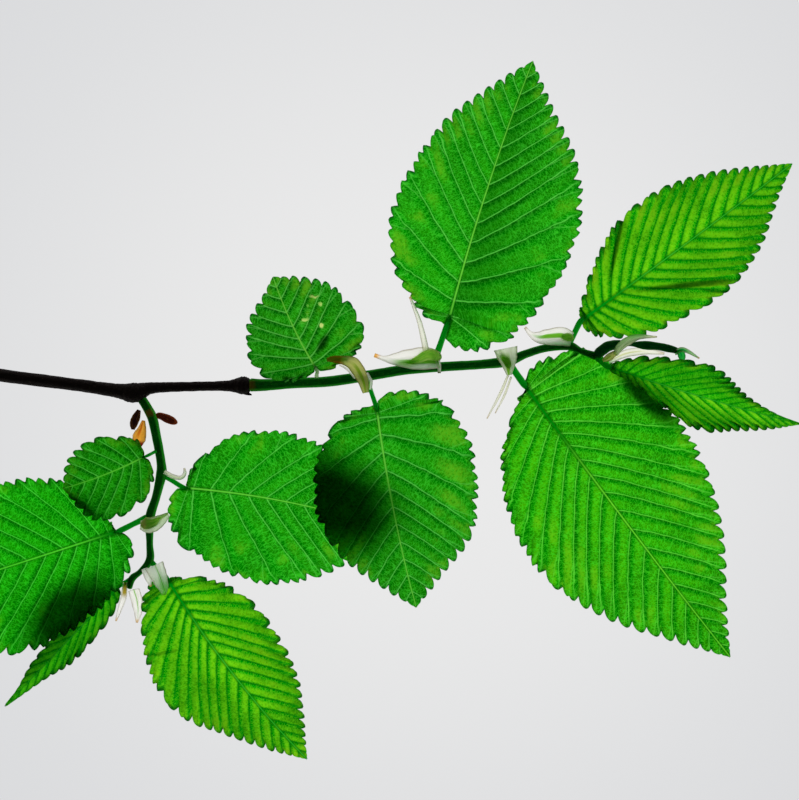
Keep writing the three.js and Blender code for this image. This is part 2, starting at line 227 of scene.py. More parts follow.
def bumpFrom(height, distance):
    bump = addNode(height.tree, "ShaderNodeBump")
    feed(bump.inputs["Distance"], distance)
    feed(bump.inputs["Height"], height)
    return Signal(bump.outputs[0])


def letLightThrough(surface, colour, through, gain=1.28):
    # light passes two faces of a thin body, so each takes the root of the colour
    tree = colour.tree
    root = addNode(tree, "ShaderNodeGamma")
    feed(root.inputs["Color"], colour)
    feed(root.inputs["Gamma"], 0.5)
    passing = addNode(tree, "ShaderNodeBsdfTranslucent")
    feed(passing.inputs["Color"], Signal(root.outputs[0]).blended((gain, gain, gain, 1), 1.0, "MULTIPLY"))
    both = addNode(tree, "ShaderNodeMixShader")
    for socket, value in zip(both.inputs, (through, Signal(surface.outputs[0]), Signal(passing.outputs[0]))):
        feed(socket, value)
    feed(tree.nodes["Material Output"].inputs["Surface"], Signal(both.outputs[0]))


# A soft-edged oval on the object, turned from its X axis; lengths in millimetres.
softPlace, given, result = newGroup(
    "softPlace", {"X": 0, "Y": 0, "Long": 1, "Wide": 1, "Turn": 0, "Softness": 0.6}, ["Amount"])
where = objectPlace(softPlace)
placeX, placeY, _ = partsOf(where)
fromX, fromY = placeX * 1000 - given["X"], placeY * 1000 - given["Y"]
cosine, sine = given["Turn"].maths("COSINE"), given["Turn"].maths("SINE")
lengthwise = (fromX * cosine + fromY * sine) / given["Long"]
crosswise = (fromY * cosine - fromX * sine) / given["Wide"]
outwards = (lengthwise * lengthwise + crosswise * crosswise).maths("SQRT")
outwards = outwards + (noiseOf(where, 90) - 0.5) * 0.5
feed(result["Amount"], outwards.ramped(given["Softness"] * 0.5 + 1.0, 1.0 - given["Softness"]))


def softOval(tree, x, y, long, wide, turn=0, softness=0.6):
    return placeGroup(tree, softPlace, {
        "X": x - middleOfOutline.x, "Y": y - middleOfOutline.y, "Long": long, "Wide": wide,
        "Turn": math.radians(turn), "Softness": softness})["Amount"]


# The blade's pattern. Vein counts veins from the blade's foot, Share runs 0 to 1 from midrib to margin
# and is negative on the right, Run is millimetres out from the midrib, Ladder is millimetres in the
# veins' own direction, Rim is millimetres from the edge, Pitch is millimetres from one vein to the next
# and Along runs 0 to 1 from foot to tip. The widths of lines are in millimetres too.
veinedBlade, given, result = newGroup("veinedBlade", {
    **dict.fromkeys(("Vein", "Share", "Run", "Ladder", "Rim", "Pitch", "Along", "Rib Width", "Rib Strength",
                     "Flank Width", "Flank Side", "Left Flank", "Right Flank", "Left Stripe",
                     "Right Stripe", "Grain", "Midrib Width", "Line Width", "Line From", "Tooth Reach",
                     "Right Shade"), 0.0),
    **dict.fromkeys(("Body", "Shade", "Glow", "Net", "Rib", "Patch", "Tooth", "Midrib", "Midrib Line")),
    "Midrib Taper": 0.7, "Tone": (1, 1, 1, 1)}, ["Color", "Relief"])
run, ladder, rim, pitch, along, grain = (
    given[name] for name in ("Run", "Ladder", "Rim", "Pitch", "Along", "Grain"))
where = objectPlace(veinedBlade)
broad, fine = noiseOf(where, 110), noiseOf(where, 1600, 2.0, 0.6)
share = abs(given["Share"])
onLeft = given["Share"].ramped(-0.01, 0.01)
vein = given["Vein"] + (noiseOf(where, 300) - 0.5) * 0.16
fromVein = (vein + 0.5).maths("FRACT") - 0.5
offVein = abs(fromVein) * pitch
pastVein = (vein * given["Flank Side"]).maths("FRACT")
pastLine = pastVein * pitch

# a net of the finest veins, with darker meshes, and stronger ones across from side vein to side vein
net = addNode(veinedBlade, "ShaderNodeTexVoronoi", feature="DISTANCE_TO_EDGE")
bent = ladder + noiseOf(where, 500, 1.0) * 0.8
feed(net.inputs["Vector"], joined(bent, pastLine * 0.5, vein.maths("FLOOR") * 7.3))
feed(net.inputs["Scale"], 2.3)
fromEdge = Signal(net.outputs["Distance"])
netLine = fromEdge.ramped(0.11, 0.03) * fine.ramped(0.28, 0.52) * grain
mesh = fromEdge.ramped(0.06, 0.24) * fine.ramped(0.8, 0.3, 0.3, 1.0) * grain
crossing = ladder * 0.7 + noiseOf(where, 260, 1.0) * 2.4
crossLine = abs(crossing.maths("FRACT") - 0.5).ramped(0.13, 0.03)

# painted shade: dark on one flank of every side vein, the flank lying towards -Y as if lit from +Y; a
# yellower stripe on the other
apart = pitch.ramped(0.3, 1.6)
flankShade = (pastLine.ramped(given["Flank Width"], 0.1) * apart * share.ramped(1.0, 0.5, 0.5, 1.0)
         * broad.ramped(0.3, 0.55, 0.6, 1.0) * given["Vein"].ramped(0.4, 2.2, 0.3, 1.0)
         * onLeft.ramped(0.0, 1.0, given["Right Flank"], given["Left Flank"]))
colour = given["Body"].blended(given["Shade"], flankShade.maths("MAXIMUM", broad.ramped(0.58, 0.36) * 0.4))
lit = 1.0 - flankShade
stripe = (pastVein.ramped(0.28, 0.5) * pastVein.ramped(0.96, 0.74) * lit
          * broad.ramped(0.32, 0.58, 0.4, 1.0) * fine.ramped(0.34, 0.58, 0.3, 1.0)
          * onLeft.ramped(0.0, 1.0, given["Right Stripe"], given["Left Stripe"]))
colour = colour.blended(given["Glow"], stripe)
colour = colour.blended(given["Shade"], mesh * 0.45)
colour = colour.blended(given["Net"], netLine * (flankShade * -0.6 + 1.0))
colour = colour.blended(given["Net"], crossLine * fine.ramped(0.36, 0.56) * grain * 0.5)
onRight = given["Share"].ramped(0.0, -0.03) * share.ramped(0.75, 0.1) * given["Right Shade"]
colour = colour.blended(given["Shade"], onRight)

# yellower patches between the side veins and inside the notches
outer = (pastVein.ramped(0.2, 0.45) * pastVein.ramped(0.95, 0.7) * share.ramped(0.5, 0.72)
         * share.ramped(1.0, 0.9) * broad.ramped(0.5, 0.6) * lit)
colour = colour.blended(given["Patch"], outer * fine.ramped(0.36, 0.56, 0.2, 1.0) * 0.6)
inNotch = rim.ramped(1.8, 0.4) * abs(fromVein - 0.2).ramped(0.2, 0.05) * broad.ramped(0.4, 0.6)
colour = colour.blended(given["Patch"], inNotch * fine.ramped(0.35, 0.6) * 0.7)

# dark points on the teeth and a thin dark edge
clearOfFoot = run.ramped(1.0, 2.6)
reach = given["Tooth Reach"]
point = rim.ramped(reach, reach * 0.3) * clearOfFoot * abs(fromVein + 0.08).ramped(0.34, 0.12)
colour = colour.blended(given["Tooth"], point * 0.8)
colour = colour.blended(given["Tooth"], rim.ramped(0.3, 0.05, 0.0, 0.5) * clearOfFoot)

# side veins between thin dark sides, each with a fork towards the small tooth below its own
ribWidth = given["Rib Width"]
forking = (share - 0.7) * 3.0
toFork = forking.maths("MAXIMUM", 0.0) * 0.42 + vein
offFork = abs((toFork + 0.5).maths("FRACT") - 0.5) * pitch
forkLine = offFork.ramped(ribWidth, 0.0) * forking.ramped(0.05, 0.3, 0.0, 0.5)
colour = colour.blended(given["Shade"], offVein.ramped(0.5, 0.15) * share.ramped(1.0, 0.7) * apart * 0.45)
veinLine = offVein.ramped(ribWidth * share.ramped(0.0, 1.0, 1.15, 0.8), ribWidth * 0.4)
veinLine = veinLine * share.ramped(1.0, 0.8, 0.3, 1.0) * fine.ramped(0.25, 0.6, 0.75, 1.0)
colour = colour.blended(given["Rib"], veinLine.maths("MAXIMUM", forkLine) * given["Rib Strength"])

# the midrib, thick at the foot, and the light line along it
taper = given["Midrib Taper"]
towardsFoot = (1.0 - along.maths("MINIMUM", 1.0)) ** 4.0
midWidth = given["Midrib Width"] * (towardsFoot * taper + (1.0 - taper))
colour = colour.blended(given["Shade"], run.ramped(midWidth * 2.2, midWidth) * 0.7)
core = run.ramped(midWidth * 0.85, midWidth * 0.45)
colour = colour.blended(given["Midrib"], core)
lineWidth, lineFrom = given["Line Width"] * along.ramped(0.0, 1.0, 1.2, 0.7), given["Line From"]
midLine = run.ramped(lineWidth, lineWidth * 0.5) * along.ramped(lineFrom - 0.15, lineFrom + 0.1)
colour = colour.blended(given["Midrib Line"], midLine)
feed(result["Color"], colour.blended(given["Tone"], 1.0, "MULTIPLY"))
feed(result["Relief"], offVein.ramped(0.0, 0.9) + mesh * 0.15 - core * 0.6)
print("blade pattern ready")

leafFinish = {
    "mature": {"Body": (0, 142, 0), "Shade": (0, 64, 0), "Glow": (76, 184, 8), "Net": (80, 208, 48),
               "Rib": (140, 230, 96), "Patch": (140, 190, 28), "Tooth": (0, 62, 14), "Midrib": (0, 120, 12),
               "Midrib Line": (160, 226, 76), "Rib Width": 0.17, "Rib Strength": 0.95, "Flank Width": 1.6,
               "Left Flank": 0.85, "Right Flank": 0.85, "Left Stripe": 0.35, "Right Stripe": 0.35,
               "Grain": 0.95, "Midrib Width": 0.5, "Line Width": 0.2, "Line From": 0.2, "Tooth Reach": 0.6},
    "young": {"Body": (0, 168, 4), "Shade": (0, 88, 0), "Glow": (136, 222, 16), "Net": (110, 214, 26),
              "Rib": (0, 112, 10), "Patch": (150, 200, 24), "Tooth": (0, 56, 10), "Midrib": (0, 134, 16),
              "Midrib Line": (60, 180, 50), "Rib Width": 0.22, "Rib Strength": 0.9, "Flank Width": 0.6,
              "Left Flank": 0.95, "Right Flank": 0.95, "Left Stripe": 1.0, "Right Stripe": 1.0, "Grain": 0.8,
              "Midrib Width": 0.75, "Line Width": 0.14, "Line From": 0.45, "Tooth Reach": 0.9},
}


def leafMaterial(leaf):
    material, tree, surface = newMaterial("blade_" + leaf["name"])
    vein, share = uvParts(tree, "veins")
    run, ladder = uvParts(tree, "lengths")
    rim, pitch = uvParts(tree, "rim")
    finish = {**leafFinish[leaf["look"]], **leaf.get("finish", {})}
    # painted shade: this puts the dark flank of each side vein on its side towards -Y
    finish["Flank Side"] = -1 if math.sin(math.radians(leaf["heading"])) > 0 else 1
    pattern = placeGroup(tree, veinedBlade, {
        "Vein": vein, "Share": share, "Run": run, "Ladder": ladder, "Rim": rim, "Pitch": pitch,
        "Along": vein / float(leaf["veins"]), **finish})
    colour = pattern["Color"]
    if "spots" in leaf:
        dots = noiseOf(objectPlace(tree), 700, 0.0).ramped(0.68, 0.74)
        colour = colour.blended((214, 226, 130), softOval(tree, *leaf["spots"], softness=0.2) * dots)
    # painted shade in soft dark places, where the blade is folded or another lies close against it and holds
    # back the light
    for *oval, strength in leaf.get("shadedPlaces", []):
        shadedColour = colour.blended((0.0, 0.06, 0.02, 1), 1.0, "MULTIPLY")
        colour = colour.blended(shadedColour, softOval(tree, *oval) * strength)
    feed(surface.inputs["Base Color"], colour)
    feed(surface.inputs["Normal"], bumpFrom(pattern["Relief"], distance=0.00012))
    feed(surface.inputs["Roughness"], 0.5)
    feed(surface.inputs["Specular IOR Level"], 0.3)
    letLightThrough(surface, colour, through=0.92)
    return material


def finishPiece(name, bm, material, slot, *nodes):
    bmesh.ops.recalc_face_normals(bm, faces=bm.faces)
    shape = bpy.data.meshes.new(name)
    bm.to_mesh(shape)
    bm.free()
    for face in shape.polygons:
        face.use_smooth = True
    piece = bpy.data.objects.new(name, shape)
    bpy.context.scene.collection.objects.link(piece)
    shape.materials.append(material)
    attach(piece, "root")
    for node in nodes:
        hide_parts(node)
    return piece


def thicken(piece, thickness):
    wall = piece.modifiers.new("thickness", "SOLIDIFY")
    wall.thickness = thickness * millimetre
    wall.offset = 0


def writeUvs(bm, name, places):
    layer = bm.loops.layers.uv[name]
    for vert, place in places.items():
        for loop in vert.link_loops:
            loop[layer].uv = place


def addTube(bm, points, radii, sides, rings, roughen=0.0, seed=0.0, flatStart=False, flatEnd=False):
    # a grid wrapped round the path; its first and last rows close the ends
    layer = bm.loops.layers.uv.new("wrap")
    made = bmesh.ops.create_grid(bm, x_segments=sides, y_segments=rings, size=0.5, calc_uvs=True)
    length = pathLength(points)
    for vert in made["verts"]:
        turn, row = vert.co.x + 0.5, round((vert.co.y + 0.5) * rings)
        t = min(max((row - 1) / (rings - 2), 0), 1)
        radius = alongList(radii, t)
        fromEnd = min(1 if flatStart else t, 1 if flatEnd else 1 - t) * length
        if fromEnd < radius:
            radius *= math.sqrt(max(1 - (1 - fromEnd / radius) ** 2, 0.04))
        if row in (0, rings):
            radius = 0
        tangent = pathTangent(points, t)
        sideways = tangent.cross(worldUp).normalized()
        upwards = sideways.cross(tangent)
        angle = 2 * math.pi * turn
        if roughen:
            spot = Vector((math.cos(angle) * 1.2, math.sin(angle) * 1.2, t * length * 0.5 + seed))
            radius *= 1 + roughen * noise.noise(spot * 1.5) + 0.5 * roughen * noise.noise(spot * 5)
        point = pathPoint(points, t) + (math.cos(angle) * sideways + math.sin(angle) * upwards) * radius
        point.z = max(point.z, 0)
        vert.co = placed(point)
    for face in {face for vert in made["verts"] for face in vert.link_faces}:
        for loop in face.loops:
            u, v = loop[layer].uv
            loop[layer].uv = (u * 2 * math.pi * max(radii), v * length)
    bmesh.ops.remove_doubles(bm, verts=made["verts"], dist=1e-7)


# The bark's colours: streaks along it, pale flecks, and one darker joint across it.
barkTone, given, result = newGroup("barkTone", {
    "Around": 0.0, "Along": 0.0, **dict.fromkeys(("Skin", "Deep", "Fleck", "Joint")),
    "Fleck Amount": 0.5, "Joint Place": -9.0, "Joint Width": 1.0}, ["Color", "Relief"])
around, along, jointWidth = given["Around"], given["Along"], given["Joint Width"]
streaks = noiseOf(joined(around, along * 0.3), 2.2, 4.0, 0.6)
flecks = noiseOf(joined(around * 1.4, along), 1.6, 1.0)
fromJoint = abs(along - given["Joint Place"]) + (streaks - 0.5) * 1.5
colour = given["Deep"].blended(given["Skin"], streaks.ramped(0.35, 0.65))
colour = colour.blended(given["Fleck"], flecks.ramped(0.64, 0.7) * given["Fleck Amount"])
feed(result["Color"], colour.blended(given["Joint"], fromJoint.ramped(jointWidth, jointWidth * 0.3)))
feed(result["Relief"], streaks + flecks.ramped(0.64, 0.72))

# A stem finish's edge colour is painted light, which its sides take where light comes through them.
stemFinish = {
    "bark": {"Skin": (0.020, 0.010, 0.007, 1), "Deep": (0.008, 0.004, 0.003, 1),
             "Fleck": (0.09, 0.05, 0.03, 1), "Fleck Amount": 0.6, "relief": 0.0001, "roughness": 0.8},
    "shoot": {"Skin": (0, 38, 2), "Deep": (0, 18, 2), "Fleck": (60, 80, 20), "Joint": (70, 26, 4),
              "Fleck Amount": 0.2, "relief": 0.00004, "roughness": 0.5, "edge": (36, 156, 32),
              "through": 0.9},
    "tip": {"Skin": (0, 40, 10), "Deep": (0, 22, 8), "Fleck": (40, 60, 20), "Fleck Amount": 0.3,
            "relief": 0.00006, "roughness": 0.6, "edge": (30, 100, 20), "through": 0.85},
    "stalk": {"Skin": (0, 134, 16), "Deep": (0, 108, 10), "Fleck": (30, 130, 20), "Fleck Amount": 0.2,
              "relief": 0.00003, "roughness": 0.5, "edge": (30, 166, 44), "through": 0.92},
    "pale stalk": {"Skin": (150, 190, 130), "Deep": (90, 150, 70), "Fleck": (200, 210, 180),
                   "Fleck Amount": 0.3, "relief": 0.00003, "roughness": 0.5, "edge": (180, 206, 160),
                   "through": 0.95},
    "bud": {"Skin": (56, 14, 8), "Deep": (24, 6, 4), "Fleck": (150, 90, 30), "Fleck Amount": 0.4,
            "relief": 0.00005, "roughness": 0.5, "edge": (150, 66, 24), "through": 0.8},
    "hump": {"Skin": (132, 190, 56), "Deep": (66, 158, 24), "Fleck": (200, 196, 110),
             "Joint": (176, 140, 84), "Fleck Amount": 0.5, "relief": 0.00005, "roughness": 0.5,
             "edge": (180, 206, 110), "through": 0.92},
}


def stemMaterial(name, look, **joint):
    finish = {**stemFinish[look], **joint}
    relief, roughness, edge, through = (
        finish.pop(key, None) for key in ("relief", "roughness", "edge", "through"))
    material, tree, surface = newMaterial(name)
    around, along = uvParts(tree, "wrap")
    pattern = placeGroup(tree, barkTone, {"Around": around, "Along": along, **finish})
    feed(surface.inputs["Normal"], bumpFrom(pattern["Relief"], relief))
    feed(surface.inputs["Roughness"], roughness)
    feed(surface.inputs["Specular IOR Level"], 0.25)
    if through is None:
        feed(surface.inputs["Base Color"], pattern["Color"])
        return material
    facing = addNode(tree, "ShaderNodeLayerWeight")
    feed(facing.inputs["Blend"], 0.5)
    # painted light: the light comes in at a stem's sides, most of all at its right, so the sides take the
    # lighter edge colour
    rightwards = partsOf(Signal(addNode(tree, "ShaderNodeTexCoord").outputs["Normal"]))[0]
    litSide = (rightwards * 0.3 + Signal(facing.outputs["Facing"])).ramped(0.1, 0.58)
    colour = pattern["Color"].blended(edge, litSide)
    feed(surface.inputs["Base Color"], colour)
    letLightThrough(surface, colour, through)
    return material


stems = [
    {"name": "older_twig", "look": "bark", "slot": "bark", "sides": 40, "rings": 300, "roughen": 0.07,
     "flatStart": True, "axis": [(-97.4, 11.0, 1.5), (-72.4, 7.6, 1.7), (-55.9, 5.5, 2.3), (-48.2, 4.4, 2.7),
                                 (-44.0, 3.9, 2.9), (-40.4, 4.9, 3.1), (-33.9, 5.2, 3.6), (-24.0, 5.4, 4.2),
                                 (-20.2, 5.5, 4.4), (-18.4, 5.5, 4.5)],
     "radii": [1.5, 1.42, 1.36, 1.56, 2.2, 1.3, 1.07, 1.15, 1.95, 1.45]},
    {"name": "main_shoot", "look": "shoot", "slot": "green_shoot", "sides": 32, "rings": 300,
     "roughen": 0.03, "joint": {"Joint Place": 0.5, "Joint Width": 3.2},
     "axis": [(-19.0, 5.6, 4.5), (-15.2, 5.6, 4.6), (-9.0, 6.0, 4.7), (-0.9, 6.4, 4.9), (8.4, 7.8, 5.1),
              (16.0, 9.0, 5.2), (25.5, 9.7, 5.3), (32.1, 10.1, 5.2), (38.0, 10.8, 5.2), (42.0, 12.4, 5.2),
              (46.4, 13.7, 5.2), (51.3, 14.2, 5.2), (54.2, 13.0, 5.2), (57.8, 11.8, 5.2)],
     "radii": [1.5, 1.3, 1.15, 1.15, 1.15, 1.12, 1.05, 1.03, 1.15, 0.92, 0.88, 1.0, 0.68, 0.95]},
    {"name": "end_shoot", "look": "tip", "slot": "green_shoot", "sides": 28, "rings": 70, "roughen": 0.1,
     "axis": [(57.2, 11.7, 5.2), (58.4, 12.9, 5.4), (60.0, 14.0, 5.6), (62.4, 14.5, 5.8), (63.6, 14.5, 5.9)],
     "radii": [0.9, 1.15, 1.15, 0.95, 0.6]},
    {"name": "side_shoot", "look": "shoot", "slot": "green_shoot", "sides": 32, "rings": 240,
     "roughen": 0.03, "joint": {"Joint Place": 6.0, "Joint Width": 1.5},
     "axis": [(-42.6, 2.8, 2.9), (-41.2, 0.6, 3.0), (-40.0, -1.8, 3.4), (-39.1, -5.7, 4.0),
              (-38.1, -11.0, 4.5), (-38.0, -14.0, 4.7), (-39.1, -19.0, 5.0), (-40.4, -23.4, 5.2),
              (-40.5, -29.0, 5.2), (-40.5, -32.8, 5.0), (-42.6, -35.4, 4.8), (-44.4, -36.9, 4.6),
              (-45.1, -39.2, 4.2)],
     "radii": [1.0, 1.05, 1.1, 1.02, 1.0, 1.15, 0.94, 1.05, 0.76, 0.9, 0.62, 0.78, 0.6]},
    {"name": "side_bud", "look": "bud", "slot": "bud", "sides": 24, "rings": 40, "roughen": 0.06,
     "axis": [(-39.4, -1.0, 3.4), (-38.0, -1.3, 3.4), (-36.8, -1.8, 3.5), (-35.4, -2.4, 3.6),
              (-34.5, -2.8, 3.6)], "radii": [0.6, 0.8, 0.95, 0.8, 0.3]},
]

for stem in stems:
    bm = bmesh.new()
    addTube(bm, stem["axis"], stem["radii"], stem["sides"], stem["rings"], stem["roughen"],
            seed=len(stem["name"]), flatStart=stem.get("flatStart", False))
    material = stemMaterial("bark_" + stem["name"], stem["look"], **stem.get("joint", {}))
    finishPiece(stem["name"] + "_bark", bm, material, stem["slot"], stem["name"])

# Small round parts that the stems carry: the furled tip, the swollen leaf bases and the twig end's spur.
swellings = [
    {"name": "furled_tip", "look": "tip", "slot": "green_shoot", "replaces": ["end_shoot"],
     "axis": [(62.8, 14.5, 5.9), (65.4, 14.5, 6.4), (67.8, 14.3, 6.8), (71.0, 14.0, 7.3), (73.4, 13.5, 7.8),
              (75.2, 13.0, 8.2)], "radii": [0.35, 0.5, 0.95, 0.86, 0.85, 0.6]},
    {"name": "twig_end_spur", "look": "bark", "slot": "bark",
     "axis": [(-20.6, 4.4, 4.4), (-19.3, 3.8, 4.4), (-18.1, 3.4, 4.4)], "radii": [0.6, 0.45, 0.12]},
    {"name": "leaf_base_main_3", "look": "hump", "slot": "green_shoot",
     "axis": [(13.2, 10.2, 6.4), (16.2, 10.3, 6.7), (18.4, 11.2, 6.9), (20.4, 12.2, 6.9), (22.2, 12.0, 6.7),
              (22.9, 10.9, 6.2)], "radii": [0.3, 0.55, 0.9, 1.25, 1.2, 0.8]},
    {"name": "leaf_base_main_4", "look": "hump", "slot": "green_shoot",
     "axis": [(35.6, 12.4, 6.5), (36.6, 11.6, 6.6), (37.9, 10.4, 6.7), (38.4, 9.2, 6.5)],
     "radii": [0.5, 0.95, 1.0, 0.5]},
    {"name": "leaf_base_main_5", "look": "hump", "slot": "green_shoot",
     "axis": [(49.6, 15.9, 6.5), (50.6, 16.1, 6.6), (51.5, 16.0, 6.5), (51.9, 15.2, 6.1)],
     "radii": [0.4, 0.85, 0.95, 0.6]},
    {"name": "leaf_base_side_3", "look": "hump", "slot": "green_shoot",
     "joint": {"Joint Place": 0.8, "Joint Width": 1.7},
     "axis": [(-42.4, -24.6, 6.4), (-41.2, -24.8, 6.6), (-39.8, -24.4, 6.7), (-38.0, -23.3, 6.7),
              (-36.3, -22.4, 6.6)], "radii": [0.6, 1.4, 1.15, 0.5, 0.15]},
]
swellingShape = {"sides": 20, "rings": 40, "roughen": 0.08}
for swelling in swellings:
    bm = bmesh.new()
    addTube(bm, swelling["axis"], swelling["radii"], **swellingShape, seed=len(swelling["name"]))
    material = stemMaterial("skin_" + swelling["name"], swelling["look"], **swelling.get("joint", {}))
    finishPiece(swelling["name"], bm, material, swelling["slot"], *swelling.get("replaces", []))
print("stems ready")

bladeShape = {
    "stations": [0, 0.12, 0.3, 0.5, 0.7, 0.87, 1],  # shares of the length where half-widths are given
    "lobeShare": 0.13, "firstVein": 0.012, "veinCrowding": 0.25, "footCrowding": 1.25, "veinFan": 0.42,
    "evenCrowding": 1.1, "tipCrowding": 0.12, "evenVeinFan": 0.36,  # for leaves with evenly spread veins
    "veinCurve": 1.12, "foldShape": 1.25, "stalkHalfWidth": 0.55, "tipHalfWidth": 0.15, "thickness": 0.3,
    "columns": 17, "notchPlace": 0.14, "toothRoundness": 3.0, "toothReach": 0.25, "toothLean": 0.12,
    "toothRoot": 0.7, "smallToothPitch": 2.5, "fullPleatWidth": 5, "unevenness": 0.3,
    "slant": 0.85,  # the veins lie closer than they are apart along the margin
    # where rows lie between one vein and the next, closest at the notch
    "rowSteps": (0, 0.04, 0.08, 0.12, *(0.17 + 0.05 * k for k in range(17))),
}
